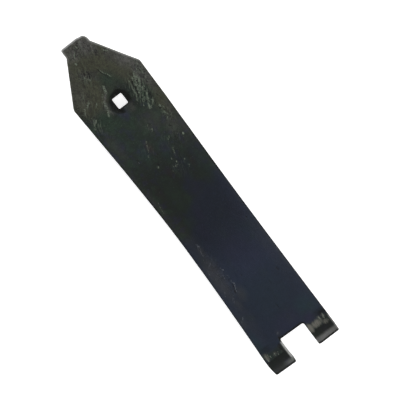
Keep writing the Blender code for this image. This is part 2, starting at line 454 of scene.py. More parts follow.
# Raised scale, and scratches down to a lighter layer.
LIGHT_MARKS = marks(
    (52, 29, 54.5, 26, 0.6, 0.7), (55, 25, 57, 22.5, 0.6, 0.7), (60, 29, 63, 27.6, 0.6, 0.9),
    (63.5, 26.8, 67, 25, 0.7, 1.0), (60.5, 18.4, 62.5, 18, 0.8, 0.45), (64, 17.6, 67, 17, 0.7, 0.6),
    (68, 18, 71, 16.2, 0.6, 1.0), (71.5, 15.8, 74, 14.4, 0.6, 0.7), (75, 14.5, 79, 13.4, 0.6, 0.3),
    (72, 26.2, 75.5, 25.6, 0.6, 0.9), (76, 25.2, 79.5, 24.2, 0.7, 0.7), (80, 23.8, 83, 22, 0.7, 0.8),
    (83.5, 21.6, 87, 19, 0.7, 1.0), (83, 27, 86, 24, 0.6, 0.8), (61.5, 22.6, 63, 22.2, 0.9, 0.8),
    (65, 21.6, 67, 21.2, 0.6, 0.8), (68, 21, 70, 20.3, 0.6, 0.8), (69, 23.2, 71, 22.4, 0.6, 0.7),
    (72.5, 22, 74, 21, 0.6, 0.7), (56, 20, 58, 19.6, 0.7, 0.7), (76, 19, 79, 17.8, 0.6, 0.7),
    (79.5, 17.4, 82, 16.4, 0.6, 0.7), (55, 26, 57, 25.6, 0.6, 0.6), (66, 28.6, 68.5, 28, 0.6, 0.7),
    (86, 22, 88, 20.8, 0.6, 0.6), (73, 18.8, 75, 18, 0.6, 0.6), (58, 31, 60.5, 30.4, 0.6, 0.6),
    (81, 27.6, 82, 26.4, 0.6, 0.7), (63, 24.6, 65, 23.8, 0.6, 0.6), (59, 24, 61, 24.6, 0.6, 0.5),
    (48, 36, 58, 34.5, 1.0, 0.5), (60, 35.5, 66, 34.5, 0.9, 0.5), (57, 29, 61, 27.4, 1.1, 0.7),
    (56, 27, 58.5, 26, 0.9, 0.6), (67, 27, 70, 25.6, 1.0, 0.6), (50, 32.5, 55, 31, 0.8, 0.4),
    (90.4, 29, 91.6, 29, 0.9, 0.9), (98, 29, 99, 29, 0.9, 0.8), (94, 31.5, 97, 31, 0.8, 0.5),
    (101, 30.5, 103, 30, 0.8, 0.5), (31, 3.2, 36, 4.2, 0.6, 0.4), (36, 4.2, 40, 7, 0.6, 0.55),
    (40, 7, 43.5, 8.4, 0.7, 0.4), (6, -0.5, 7, -0.5, 0.8, 1.0), (7, -9, 8, -9, 0.8, 0.5),
    (9, -5, 12, -9, 0.7, 0.6), (16.6, -10.5, 17.6, -10.5, 0.8, 0.7), (33.6, -10, 34.6, -10, 0.9, 0.9),
    (26, -7, 28, -8.5, 0.8, 0.5), (29, -13, 31, -12, 0.8, 0.5), (21.5, 18, 24, 20, 0.9, 0.5),
    (36.5, 28, 38, 28, 0.9, 0.6), (46, -3, 52, -5, 1.3, 0.75), (57, -12, 61, -13.5, 1.0, 0.6),
    (63, -13.5, 70, -17, 1.0, 0.6), (51.5, -9, 54, -11.5, 0.9, 0.4), (54, -18, 57, -21, 0.7, 0.5),
    (66, -29, 68, -33, 0.9, 0.8), (68.5, -33, 72, -35, 0.9, 0.7), (62, -31, 65, -33, 0.8, 0.4),
    (42, -23, 44, -27, 0.8, 0.4), (48, -22, 52, -28, 0.8, 0.5), (52, -31, 56, -34, 0.9, 0.6),
    (75, 3.5, 76, 5, 0.7, 0.4), (348, -12.5, 348.8, -13.2, 0.8, 0.6),
    (103, 29.5, 105.5, 27.5, 0.8, 0.5), (104, 32, 106, 30.5, 0.7, 0.4),
    (119.4, 18.6, 122, 16, 0.9, 0.4), (125.5, 31.5, 126.5, 31.5, 0.9, 0.9),
    (131, 14.5, 142, 10, 0.6, 0.45), (143, 9, 145, 8.6, 0.8, 0.5), (147, 10, 149, 9, 0.7, 0.4),
    (146.6, 17, 147.6, 17, 0.9, 0.6), (154.6, 18, 158, 15.6, 0.8, 0.35), (139, 6.5, 140, 6.5, 0.8, 0.5),
    (149.6, 0, 150.6, 0, 0.8, 0.5), (122.6, -22.5, 123.6, -22.5, 0.8, 0.5),
    (137.6, -10, 138.6, -10, 0.8, 0.5), (168, -33, 180, -35, 1.0, 0.25), (147.5, 3, 149, 8, 2.2, 0.3),
    (110, -3, 117, -7, 0.7, 0.3), (117, -6, 125, -12, 0.7, 0.3), (103, -4, 107, -7, 0.7, 0.3),
    (104, -14, 110, -18, 0.7, 0.3), (98, 8, 103, 6, 0.8, 0.35), (104, 9, 107, 7, 0.8, 0.35),
    (228, -27, 241, -29, 2.0, 0.25), (261, -22.5, 266, -20, 0.8, 0.35),
    (264, -26, 266, -28.5, 0.8, 0.3), (272, -20, 282, -20.5, 0.8, 0.3),
    (283, -19.5, 292, -22.5, 0.9, 0.5), (293, -28, 300, -32, 0.9, 0.35), (252, -27, 255, -32, 0.9, 0.3),
    (316, -32, 320, -36, 0.9, 0.4), (270, -24, 276, -25, 0.8, 0.35), (285, -33, 289, -35, 0.8, 0.35),
    (257, -34, 262, -35.5, 0.8, 0.35), (245, -31, 249, -33, 0.8, 0.3),
    (357.5, 35.6, 362, 34.2, 0.6, 0.6), (358.2, 29.8, 361, 30.4, 0.6, 0.7),
    (361, -27.3, 365.4, -27, 0.5, 0.5), (363, -23.5, 366.4, -24.6, 0.5, 0.4),
    (362, -32.4, 364.4, -32.2, 0.5, 0.5), (357, -33.5, 361, -34.2, 0.6, 0.4),
    (360, -36.5, 366, -36.2, 0.7, 0.6), (379, -15.8, 384, -16.4, 0.8, 0.5),
)
# Creases and pits that stay dark.
DARK_MARKS = marks(
    (50, 31.5, 60, 31.5, 0.7, 0.8), (58, 33.5, 66, 33, 0.9, 0.5), (80, 33, 88, 35, 0.9, 0.4),
    (31, 2, 36, 3, 0.7, 0.6), (36, 3, 41, 6, 0.7, 0.5), (64, 27.5, 70, 25.5, 0.7, 0.7),
    (72, 29.5, 80, 27.5, 1.3, 0.6), (67, 19.5, 72, 18, 0.7, 0.6), (75, 22.5, 81, 21, 0.8, 0.6),
    (56, 27.5, 60, 26.5, 0.7, 0.6), (58, 21, 60, 20.5, 0.8, 0.7), (80, 22.5, 86, 20.5, 0.6, 0.5),
    (83, 29, 88, 26, 0.9, 0.4), (62, 20.3, 66, 19.4, 0.7, 0.6), (70, 16.5, 76, 13, 0.6, 0.4),
    (4, 6, 9, 8, 1.0, 0.4), (10, 10, 15, 8, 1.0, 0.4), (12, 2, 16, 1, 0.9, 0.3),
    (27, -10, 29, -11, 0.8, 0.6), (31, -8, 33, -7.5, 0.8, 0.6), (34.5, -12, 35.5, -13, 0.8, 0.5),
    (57.5, -15, 62, -16.5, 0.7, 0.4), (123.6, 23, 126, 23, 0.9, 0.6), (111, 24.5, 113, 26.5, 0.9, 0.5),
    (126.6, -2, 127.6, -2, 0.9, 0.5), (119.5, -22.5, 120.5, -22.5, 0.9, 0.6),
    (135.5, -8, 136.5, -8, 0.9, 0.5), (131, 13.2, 142, 8.8, 0.5, 0.4), (283, -21, 292, -24.2, 0.9, 0.5),
    (296, 26, 298, 26, 2.0, 0.3), (234, 32, 236, 32, 1.0, 0.4), (292.5, 34, 293.5, 34, 1.0, 0.3),
    (280, -8, 281, -8, 1.2, 0.3), (325, 3.5, 332, 3.5, 0.9, 0.3), (302, 12, 305, 12, 1.3, 0.3),
    (353.4, -13, 353.4, 13, 0.8, 0.4), (353.2, -14, 354.2, -14, 1.1, 1.0),
    (33, -16, 37, -17.5, 1.8, 0.35), (41, -17, 45, -18.5, 1.6, 0.3),
    (359, -18.5, 365, -18.5, 2.6, 0.45), (68.5, -24, 72, -26, 1.2, 0.3), (1.9, -12, 1.9, 10, 0.7, 0.6),
    (44, 12, 47, 14, 1.0, 0.3), (92, 6, 96, 5, 1.0, 0.3),
)


@dataclass(frozen=True)
class Scatter:
    """Many small dents, drawn at random inside a box of the flat blank, in metres."""

    seed: int
    count: int
    low: tuple[float, float]
    high: tuple[float, float]
    width: tuple[float, float]
    stretch: float
    depth: float
    shallowest_share: float = 0.3

    def strength(self, flat: np.ndarray, front: np.ndarray) -> np.ndarray:
        """Depth of the dents at each point: each is a bell, longer along the bar than across.

        Args:
            flat: points as rows of along, across and depth.
            front: which points are on the front face.

        Returns:
            One depth for each point, in metres.
        """
        draw = np.random.default_rng(self.seed)
        centres = draw.uniform(self.low, self.high, size=(self.count, 2))
        widths = draw.uniform(*self.width, size=self.count)
        depths = self.depth * draw.uniform(self.shallowest_share, 1.0, size=self.count)
        off = (flat[front][:, None, :2] - centres[None]) / widths[None, :, None]
        off[..., 0] /= self.stretch
        total = np.zeros(len(flat))
        total[front] = (depths * np.exp(-(off**2).sum(axis=2))).max(axis=1)
        return total


@dataclass
class ForgedSurface:
    """How the bar's surface departs from true: always inwards, so it stays inside the solid.

    The first zones say how far the outline is pulled in: the right shoulder and the tongue's worn
    corner across the bar, and the tongue's end and the right tab along it.
    """

    shoulder: Zone = zone(0.0005, (Way.ACROSS, 0.010, 0.034), (Way.ALONG, 0.088, 0.054),
                          (Way.ALONG, 0.008, 0.020))
    tongue_corner: Zone = zone(0.0008, (Way.ACROSS, 0.006, 0.0125), (Way.ALONG, 0.007, 0.001))
    tongue_end: Zone = zone(0.0008, (Way.ACROSS, 0.003, 0.008), (Way.ALONG, 0.007, 0.001))
    tab_end: Zone = zone(0.0007, (Way.ACROSS, 0.010, 0.014), (Way.ALONG, 0.370, 0.388))
    tab_skew: Zone = zone(0.0010, (Way.ACROSS, 0.016, 0.038), (Way.ACROSS, 0.010, 0.014),
                          (Way.ALONG, 0.370, 0.388))

    seed: int = 11
    rolling_width: float = 0.034
    rolling_depth: float = 0.00016
    scale_width: float = 0.0052
    scale_depth: float = 0.00013
    scale_cover: tuple[float, float] = (-0.5, 0.45)
    smoother: Zone = zone(0.75, (Way.ALONG, 0.070, 0.190))
    edge_wave_width: float = 0.016
    edge_wave_depth: float = 0.00012
    edge_wave_level: float = 0.4
    fine_falloff: float = 0.6
    wall_share: float = 0.15
    edge_roll_width: float = 0.0016
    edge_roll_depth: float = 0.00022
    least: float = 0.00004
    pit_depth: float = 0.00026
    proud_height: float = 0.00012
    dent_fade: float = 0.003
    dents: tuple[Scatter, ...] = (
        Scatter(3, 150, (0.002, -0.038), (0.100, 0.038), (0.0009, 0.0024), 1.6, 0.00022),
        Scatter(4, 70, (0.055, 0.012), (0.095, 0.036), (0.0009, 0.0016), 3.2, 0.00028),
        Scatter(5, 110, (0.090, -0.036), (0.185, 0.038), (0.0007, 0.0016), 1.4, 0.00016),
        Scatter(6, 36, (0.180, -0.038), (0.350, 0.038), (0.0007, 0.0018), 2.4, 0.00012),
        Scatter(7, 30, (0.235, -0.038), (0.325, -0.012), (0.0008, 0.0016), 3.0, 0.00020),
    )

    def pull_in(self, flat: np.ndarray) -> np.ndarray:
        """Move the outline in where the forging runs short of true.

        The right shoulder and the tongue's worn corner lie nearer to the middle line, the tongue's
        end is shorter beside that corner, and the right tab is a little shorter than the left,
        most at its outer side.

        Args:
            flat: points as rows of along, across and depth.

        Returns:
            The moved points.
        """
        place = places(flat)
        moved = np.zeros_like(flat)
        moved[:, 0] = self.tongue_end.share(place) - self.tab_end.share(place) - self.tab_skew.share(place)
        moved[:, 1] = -self.shoulder.share(place) - self.tongue_corner.share(place)
        return flat + moved

    def sink(self, flat: np.ndarray, edge: np.ndarray, facing: np.ndarray) -> np.ndarray:
        """How far each point lies inside the true surface.

        Wide and fine unevenness, waves along the walls, a roll-off towards the rims, pits and dents
        are added up, and on the front face all but the raised scale lies lower.

        Args:
            flat: points as rows of along, across and depth.
            edge: distance from the outline, at each point.
            facing: the depth part of the flat surface's normal, 1 on the front and -1 on the back.

        Returns:
            One distance for each point, at least the least one.
        """
        noise = Lattice(self.seed)
        front = facing > 0.5
        wall = 1 - np.abs(facing)
        rough = 1 - self.smoother.share(places(flat))
        rolling = self.rolling_depth * (0.5 + 0.5 * noise.layers(flat, self.rolling_width, 2))
        scale = noise.layers(flat, self.scale_width, 3, self.fine_falloff)
        scale = self.scale_depth * rough * smooth_step(scale, *self.scale_cover)
        wave = (1 - self.edge_wave_level) * noise.layers(flat, self.edge_wave_width, 4, self.fine_falloff)
        wave = self.edge_wave_depth * wall * (self.edge_wave_level + wave)
        roll = self.edge_roll_depth * np.abs(facing) * np.exp(-((edge / self.edge_roll_width) ** 2))
        total = (rolling + scale) * (1 - (1 - self.wall_share) * wall) + np.maximum(wave, 0) + roll
        for mark in DARK_MARKS:
            total += self.pit_depth * mark.share(flat)
        proud = np.max([mark.share(flat) for mark in LIGHT_MARKS], axis=0)
        total += self.proud_height * rough * front * (1 - proud)
        for dents in self.dents:
            total += dents.strength(flat, front) * smooth_step(edge, 0, self.dent_fade)
        return np.maximum(total, 0) + self.least


# Soft spots: along and across of the middle, half sizes the same way, in millimetres, and strength.
SPOTS: dict[Mask, tuple[tuple[float, float, float, float, float], ...]] = {
    # painted shade beside the hole
    Mask.SHADE: ((70, 11.5, 14, 4.8, 1.0),),
    Mask.GREEN: (
        (74, -22, 13, 10, 1.0), (72, 24, 16, 9, 1.0), (43, 3, 9, 8, 0.8), (88, 0, 22, 20, 0.4),
        (118, 5, 30, 26, 0.15), (172, 26, 12, 7, 0.6), (152, 31, 10, 6, 0.35), (176, -14, 20, 9, 0.7),
        (150, -14, 14, 8, 0.4), (150, 20, 12, 6, 0.3), (204, -18, 8, 6, 0.4),
    ),
    # Grey: scale on the head and tongue; the long narrow spots along both long edges and those at across -31
    # mm on the lower part are a painted sheen.
    Mask.GREY_AND_SHEEN: (
        (10, 5, 9, 7, 1.0), (40, -28, 13, 9, 0.5), (34, 27, 11, 7, 0.95), (47, 32.5, 14, 6, 0.6),
        (27, 20, 7, 6, 0.95), (57, 29, 6, 4, 0.6), (21, -21, 6, 4, 0.5), (304, -29, 8, 5, 0.3),
        (296, -20, 9, 6, 0.28), (77, 6, 4, 4, 0.5), (17, 11, 5, 4, 0.9), (345, -37, 8, 4, 0.2),
        (97, 36, 8, 3, 0.5), (119, 36, 9, 3, 0.5), (27, -13, 4, 3, 0.6), (321, -36, 9, 4, 0.26),
        (72.8, 6.5, 3.4, 3.8, 0.6), (112, 29, 12, 8, 0.5), (60, 35.5, 17, 4.5, 0.9),
        (97, 14, 12, 14, 0.3), (98, -31, 16, 6, 0.3), (218, -31, 30, 7, 0.22), (268, -31, 32, 8, 0.42),
        (320, -31, 30, 8, 0.15), (350, -12, 4, 3, 0.2), (152, 31, 10, 6, 0.18), (262, 32, 50, 6, 0.12),
        (175, -36, 30, 4, 0.3), (236, -28, 9, 4, 0.4), (9, -6, 6, 7, 0.7), (125, 38, 26, 4, 0.34),
        (165, 38.5, 26, 4, 0.22), (215, 39, 36, 4, 0.20), (275, 39, 40, 4.5, 0.26),
        (325, 39, 28, 4, 0.14), (322, -38, 30, 4, 0.14), (130, -38, 40, 3.5, 0.16),
        (134, 30, 12, 6, 0.16),
    ),
    Mask.TEAL: (
        (342, 26, 11, 11, 0.9), (148.5, 5.5, 5, 5, 0.4), (355, -27, 6, 9, 0.15), (345, -37, 12, 5, 0.7),
        (238, 26, 16, 9, 0.3), (155, 30, 20, 8, 0.35), (310, 2, 34, 22, 0.3), (152, 14, 9, 8, 0.4),
        (118, -12, 9, 7, 0.35), (134, 6, 7, 6, 0.3), (166, 8, 8, 5, 0.35),
    ),
    Mask.PURPLE: (
        (76.5, -3.5, 6, 5, 0.6), (202, -5.5, 10, 4, 0.6), (225, 27, 14, 8, 0.4), (172, 8, 16, 6, 0.35),
        (345, 3, 11, 14, 0.6), (354, 23, 6, 7, 0.8), (100, -26, 9, 6, 0.3), (124, 8, 6, 6, 0.35),
        (220, -13, 14, 6, 0.4), (262, 6, 30, 20, 0.4),
    ),
    Mask.RED: (
        (117, -5, 7, 4, 0.5), (149, -4, 6, 3, 0.5), (152, 22, 7, 3, 0.4), (162, -26, 10, 4, 0.4),
        (141, -28, 6, 4, 0.2),
    ),
    Mask.STREAKS: (
        (67, 23, 16, 9.5, 1.0), (54, 34.5, 16, 5, 0.7), (99, 30.5, 10, 5, 0.4), (34, 26, 9, 5, 0.5),
        (60, -13, 12, 3.5, 0.5), (69, -31, 10, 5, 0.6), (48, -24, 12, 10, 0.35), (30, -11, 12, 7, 0.55),
        (9, 0, 10, 11, 0.45), (24, 18, 10, 6, 0.3), (122, 18, 16, 12, 0.16), (150, 10, 12, 10, 0.12),
        (118, -8, 14, 8, 0.15),
    ),
    Mask.ROUGH: (
        (6, 0, 8, 14, 0.8), (15, 9, 9, 5, 0.8), (29, -11, 8, 8, 0.9), (52, 33, 14, 6, 0.9),
        (47, -22, 10, 10, 0.55), (71, 23, 20, 10, 0.6), (55, -35.5, 18, 4, 0.9), (98, 30, 12, 6, 0.8),
        (10, -8, 8, 6, 0.8), (22, 19, 4, 4, 0.6), (102, 8, 12, 8, 0.35), (124, 24, 16, 10, 0.4),
        (148, 6, 9, 9, 0.4), (38, 28, 8, 4, 0.6), (264, -26, 30, 9, 0.25),
    ),
    # brush-marked steel with a painted highlight where the tabs begin to bend
    Mask.BRUSHED_AND_HIGHLIGHT: (
        (362.8, 24.5, 4.4, 8.5, 0.80), (363.4, 17.0, 6.0, 2.8, 1.0), (366.0, 33.6, 3.6, 4.0, 0.60),
        (360, 34.5, 3.6, 2.6, 0.52), (359.5, 30, 2.4, 1.6, 0.62), (361.5, -36.0, 5.6, 3.4, 0.62),
        (363.5, -26.5, 3.4, 3.8, 0.44), (365, -20, 2.5, 2.5, 0.35),
    ),
}


@dataclass(frozen=True)
class Site:
    """The points of the surface, where they lie, which way they face, and the noise there."""

    flat: np.ndarray
    place: dict[Way, np.ndarray]
    round_hole: dict[Way, np.ndarray]
    facing: np.ndarray
    wobble: np.ndarray
    fine: np.ndarray

    def spots(self, mask: Mask) -> np.ndarray:
        """The strongest of one mask's soft spots, each falling as exp(-(distance in half sizes)^3).

        Args:
            mask: which of the masks with spots.

        Returns:
            One share for each point.
        """
        total = np.zeros(len(self.flat))
        for along, across, long, wide, strength in SPOTS[mask]:
            off = (self.flat[:, :2] / MM - (along, across)) / (long, wide)
            total = np.maximum(total, strength * np.exp(-((off**2).sum(axis=1) ** 1.5)))
        return total


@dataclass
class WearMap:
    """Where the paint is thin, rubbed or dark, and where shade, highlights and a floor reflection are painted
    on it, in metres of the flat blank.

    A zone's strength is the share that it reaches, or a length where it moves a limit. The tabs
    begin to turn at 0.360 and end at 0.389. What lies round the hole is measured from its centre.
    """

    seed: int = 23
    wobble_width: float = 0.022
    fine_width: float = 0.006
    fine_shift: float = 0.3
    fine_falloff: float = 0.6
    front_from: tuple[float, float] = (0.3, 0.8)
    tint_fray: float = 0.5
    rough_fray: float = 0.3
    streak_fray: float = 0.5
    light_fray: float = 0.8
    pit_fray: float = 0.6

    olive_limit: float = 0.046
    olive_longer: tuple[Zone, ...] = (
        zone(0.052, (Way.ACROSS, 0.012, 0.034)),
        zone(0.020, (Way.ACROSS, -0.004, -0.016)),
        zone(-0.014, (Way.ACROSS, -0.030, -0.037)),
    )
    olive_fade: tuple[float, float] = (0.016, -0.012)
    olive_wobble: float = 0.012
    olive_ragged: float = 0.004

    blue_limit: float = 0.176
    blue_later: Zone = zone(0.036, (Way.ACROSS, 0.002, -0.034))
    blue_fade: tuple[float, float] = (-0.009, 0.011)
    blue_wobble: float = 0.020
    tabs_not_blue: Zone = zone(0.85, (Way.ALONG, 0.3560, 0.3605, 0.002))

    # painted shade
    middle_shade: Zone = zone(1.0, (Way.ALONG, 0.110, 0.150), (Way.ALONG, 0.285, 0.215))
    lower_shade: Zone = zone(0.42, (Way.ALONG, 0.270, 0.315))
    paler_sides: Zone = zone(0.45, (Way.OFF_MIDDLE, 0.024, 0.038))
    shade_wobble: float = 0.2

    rough_least: float = 0.07
    rough_middle: Zone = zone(0.17, (Way.ALONG, 0.200, 0.130))
    rough_head: Zone = zone(0.32, (Way.ALONG, 0.120, 0.070))

    ring_radius: float = 0.0138
    ring_width: float = 0.0012
    ring: Zone = zone(1.0, (Way.ACROSS, -0.002, -0.009), (Way.ALONG, 0.0087, 0.0027))
    # painted reflection of the white floor on the tabs' legs
    right_tab_reflection: Zone = zone(0.80, (Way.ACROSS, 0.0, 0.001), (Way.ALONG, 0.3735, 0.3785, 0.0010))
    left_tab_reflection: Zone = zone(1.0, (Way.ACROSS, 0.001, 0.0), (Way.ALONG, 0.3755, 0.3825, 0.0012))
    left_tab_inside: Zone = zone(1.0, (Way.ACROSS, -0.026, -0.016))
    left_tab_levels: tuple[float, float] = (0.08, 0.46)
    left_tab_lead: float = 1.25
    tabs_before_ends: Zone = zone(1.0, (Way.ALONG, 0.3852, 0.3838))
    rubbed_head: tuple[Zone, ...] = (
        zone(0.29, (Way.ALONG, 0.018, 0.010)),
        zone(0.14, (Way.ALONG, 0.018, 0.010), (Way.ACROSS, 0.0, 0.006)),
        zone(0.25, (Way.ACROSS, 0.026, 0.031), (Way.ALONG, 0.070, 0.060)),
    )
    taper_middle: tuple[float, float] = (0.0350, 0.0275)
    taper_half_sizes: tuple[float, float] = (0.009, 0.006)
    taper_share: float = 0.42

    # painted shade in the countersink, less on its lower side where the light falls
    cone: tuple[float, float] = (0.0124, 0.0104)
    cone_wobble: float = 0.0012
    cone_narrower: tuple[Zone, ...] = (
        zone(0.0012, (Way.ACROSS, -0.003, -0.009), (Way.ALONG, 0.004, -0.002)),
        zone(0.0016, (Way.ALONG, -0.003, -0.008), (Way.ACROSS, 0.004, -0.002)),
    )
    lit_cone: Zone = zone(0.90, (Way.ALONG, 0.0040, 0.0075))
    lit_cone_middle: float = 0.0050
    lit_cone_fade: tuple[float, float] = (0.0080, 0.0050)

    # Painted shade in black: the tabs' bend, the left tab's outside, both ends, the long edges' rims and the
    # notch's corners.
    shade_black: tuple[Zone, ...] = (
        zone(0.74, (Way.ALONG, 0.3655, 0.3670, 0.0008), (Way.ALONG, 0.3790, 0.3745)),
        zone(0.75, (Way.ACROSS, -0.0200, -0.0290, 0.002), (Way.ALONG, 0.3720, 0.3760),
             (Way.ACROSS, 0.001, 0.0)),
        zone(1.0, (Way.ALONG, 0.3838, 0.3850)),
        zone(0.85, (Way.DEPTH, -0.0002, -0.0009), (Way.EDGE, 0.0007, 0.0002),
             (Way.OFF_MIDDLE, 0.035, 0.0375), (Way.ALONG, 0.060, 0.075), (Way.ALONG, 0.362, 0.356)),
        zone(0.90, (Way.EDGE, 0.0024, 0.0010), (Way.OFF_MIDDLE, 0.0165, 0.0155),
             (Way.ALONG, 0.350, 0.351), (Way.ALONG, 0.3575, 0.3565)),
    )
    above_bend: tuple[Zone, ...] = (
        zone(0.40, (Way.ALONG, 0.3510, 0.3530), (Way.ALONG, 0.3590, 0.3575), (Way.OFF_MIDDLE, 0.022, 0.032)),
        zone(0.45, (Way.ACROSS, 0.0300, 0.0340), (Way.ALONG, 0.3530, 0.3560)),
    )
    # painted shade along the rims of the long edges
    edge_line: Zone = zone(1.0, (Way.EDGE, 0.0024, 0.0011, 0.0005), (Way.OFF_MIDDLE, 0.035, 0.0375),
                           (Way.ALONG, 0.046, 0.054), (Way.ALONG, 0.378, 0.372))
    edge_line_level: float = 0.30
    edge_line_darker: Zone = zone(0.55, (Way.ALONG, 0.150, 0.160), (Way.ALONG, 0.188, 0.176))
    edge_line_stops: Zone = zone(1.0, (Way.ALONG, 0.355, 0.359), (Way.ACROSS, 0.0, 0.01))

    # bare edges with a painted highlight where the rims face the light
    bare_lit_rim: Zone = zone(1.0, (Way.EDGE, 0.0020, 0.0008, 0.0005))
    bare_lit_facing: tuple[float, float] = (-0.3, 0.1)
    bare_lit_head: Zone = zone(1.0, (Way.ALONG, 0.052, 0.044))
    bare_lit_left_level: float = 0.08
    bare_lit_right: Zone = zone(0.92, (Way.ACROSS, -0.016, -0.013))
    bare_lit_side_level: float = 0.50
    bare_lit_end: Zone = zone(0.50, (Way.ALONG, 0.004, 0.002))
    bare_lit_tab: Zone = zone(0.45, (Way.ACROSS, 0.0365, 0.0380), (Way.ALONG, 0.3600, 0.3640))
    notch_wall: Zone = zone(1.0, (Way.ALONG, 0.3565, 0.3585), (Way.ALONG, 0.3810, 0.3750))
    notch_wall_across: float = -0.0146
    notch_wall_fade: tuple[float, float] = (0.0019, 0.0011)

    def shares(self, flat: np.ndarray, edge: np.ndarray, facing: np.ndarray,
               hole: np.ndarray) -> dict[Mask, np.ndarray]:
        """Every mask at every point.

        Args:
            flat: points as rows of along, across and depth.
            edge: distance from the outline.
            facing: the depth part of the flat surface's normal.
            hole: along and across of the square hole's centre.

        Returns:
            One array from 0 to 1 for each mask.
        """
        noise = Lattice(self.seed)
        wobble = noise.layers(flat, self.wobble_width, 3)
        fine = noise.layers(flat + self.fine_shift, self.fine_width, 3, self.fine_falloff)
        site = Site(flat, places(flat, edge), places(flat - (*hole, 0)), facing, wobble, fine)
        front = smooth_step(facing, *self.front_from)
        light = np.max([mark.share(flat) for mark in LIGHT_MARKS], axis=0)
        pits = np.max([mark.share(flat) for mark in DARK_MARKS], axis=0)
        shares = {
            Mask.OLIVE: self._olive(site),
            Mask.BLUE: self._blue(site),
            Mask.SHADE: self._shade(site),
            Mask.ROUGH: self._rough(site) * (1 + self.rough_fray * fine),
            Mask.STREAKS: front * site.spots(Mask.STREAKS) * (1 + self.streak_fray * fine),
            Mask.LIGHT: front * light * (1 + self.light_fray * fine),
            Mask.PITS: front * pits * (1 + self.pit_fray * fine),
            Mask.WORN_AND_REFLECTED: self._worn_and_reflected(site),
            Mask.BLACK_SHADE: self._black_shade(site),
            Mask.EDGE: self._bare_edge_highlight(site),
            Mask.BRUSHED_AND_HIGHLIGHT: front * site.spots(Mask.BRUSHED_AND_HIGHLIGHT),
        }
        for tint in (Mask.GREEN, Mask.GREY_AND_SHEEN, Mask.TEAL, Mask.PURPLE, Mask.RED):
            shares[tint] = front * site.spots(tint) * (1 + self.tint_fray * wobble)
        return {mask: np.clip(share, 0, 1) for mask, share in shares.items()}

    def _olive(self, site: Site) -> np.ndarray:
        """The olive head: it ends above the hole in the middle, and runs on down both edges.

        Args:
            site: the points.

        Returns:
            One share for each point.
        """
        limit = self.olive_limit + sum(longer.share(site.place) for longer in self.olive_longer)
        along = site.place[Way.ALONG] + self.olive_wobble * site.wobble + self.olive_ragged * site.fine
        return smooth_step(along, limit + self.olive_fade[0], limit + self.olive_fade[1])

    def _blue(self, site: Site) -> np.ndarray:
        """The blue-black lower part: it starts higher on the right side than on the left.

        Args:
            site: the points.

        Returns:
            One share for each point.
        """
        limit = self.blue_limit + self.blue_later.share(site.place)
        along = site.place[Way.ALONG] + self.blue_wobble * site.wobble
        blue = smooth_step(along, limit + self.blue_fade[0], limit + self.blue_fade[1])
        return blue * (1 - self.tabs_not_blue.share(site.place, site.wobble))

    def _shade(self, site: Site) -> np.ndarray:
        """Painted shade: darkest from the upper bow to the middle bend, and beside the hole on the right.

        Args:
            site: the points.

        Returns:
            One share for each point.
        """
        shade = np.maximum(self.middle_shade.share(site.place), self.lower_shade.share(site.place))
        shade *= (1 - self.paler_sides.share(site.place)) * (1 + self.shade_wobble * site.wobble)
        return np.maximum(shade, site.spots(Mask.SHADE))

    def _rough(self, site: Site) -> np.ndarray:
        """How strongly scale mottles the paint: most in spots on the head, least at the lower end.

        Args:
            site: the points.

        Returns:
            One share for each point.
        """
        bands = np.maximum(self.rough_middle.share(site.place), self.rough_head.share(site.place))
        return np.maximum(np.maximum(bands, self.rough_least), site.spots(Mask.ROUGH))

    def _worn_and_reflected(self, site: Site) -> np.ndarray:
        """Paint rubbed thin on the countersink's left rim, the tongue and the right taper, and a painted
        floor reflection on the tabs' legs.

        Args:
            site: the points.

        Returns:
            One share for each point.
        """
        place, fine = site.place, site.fine
        reach = np.hypot(site.round_hole[Way.ALONG], site.round_hole[Way.ACROSS])
        ring = np.exp(-(((reach - self.ring_radius) / self.ring_width) ** 2))
        ring *= self.ring.share(site.round_hole) * (0.5 + 0.5 * fine)
        taper = ((place[Way.ALONG] - self.taper_middle[0]) / self.taper_half_sizes[0]) ** 2
        taper += ((place[Way.ACROSS] - self.taper_middle[1]) / self.taper_half_sizes[1]) ** 2
        inner = self.left_tab_inside.share(place)
        least, most = self.left_tab_levels
        left = self.left_tab_reflection.share(place, fine + self.left_tab_lead * inner)
        left *= least + (most - least) * inner
        tabs = (self.right_tab_reflection.share(place, fine) + left) * self.tabs_before_ends.share(place)
        head = sum(rubbed.share(place) for rubbed in self.rubbed_head) + self.taper_share * np.exp(-taper)
        return ring + head + tabs

    def _black_shade(self, site: Site) -> np.ndarray:
        """Painted shade in black: in the countersink, on the tabs' dark bands and ends, and along the edges.

        The countersink's ring is narrower at its left and upper sides, and its lower side catches
        the light. The line along each long edge is darkest just above the middle bend.

        Args:
            site: the points.

        Returns:
            One share for each point.
        """
        place, fine, round_hole = site.place, site.fine, site.round_hole
        reach = np.hypot(round_hole[Way.ALONG], round_hole[Way.ACROSS]) + self.cone_wobble * site.wobble
        reach += sum(narrower.share(round_hole) for narrower in self.cone_narrower)
        lit = smooth_step(np.abs(round_hole[Way.ACROSS] - self.lit_cone_middle), *self.lit_cone_fade)
        cone = smooth_step(reach, *self.cone) * (1 - lit * self.lit_cone.share(round_hole))
        line = self.edge_line.share(place, fine) * (self.edge_line_level + self.edge_line_darker.share(place))
        line *= 1 - self.edge_line_stops.share(place)
        above = sum(part.share(place) for part in self.above_bend)
        return np.maximum.reduce([cone, line, above] + [part.share(place, fine) for part in self.shade_black])

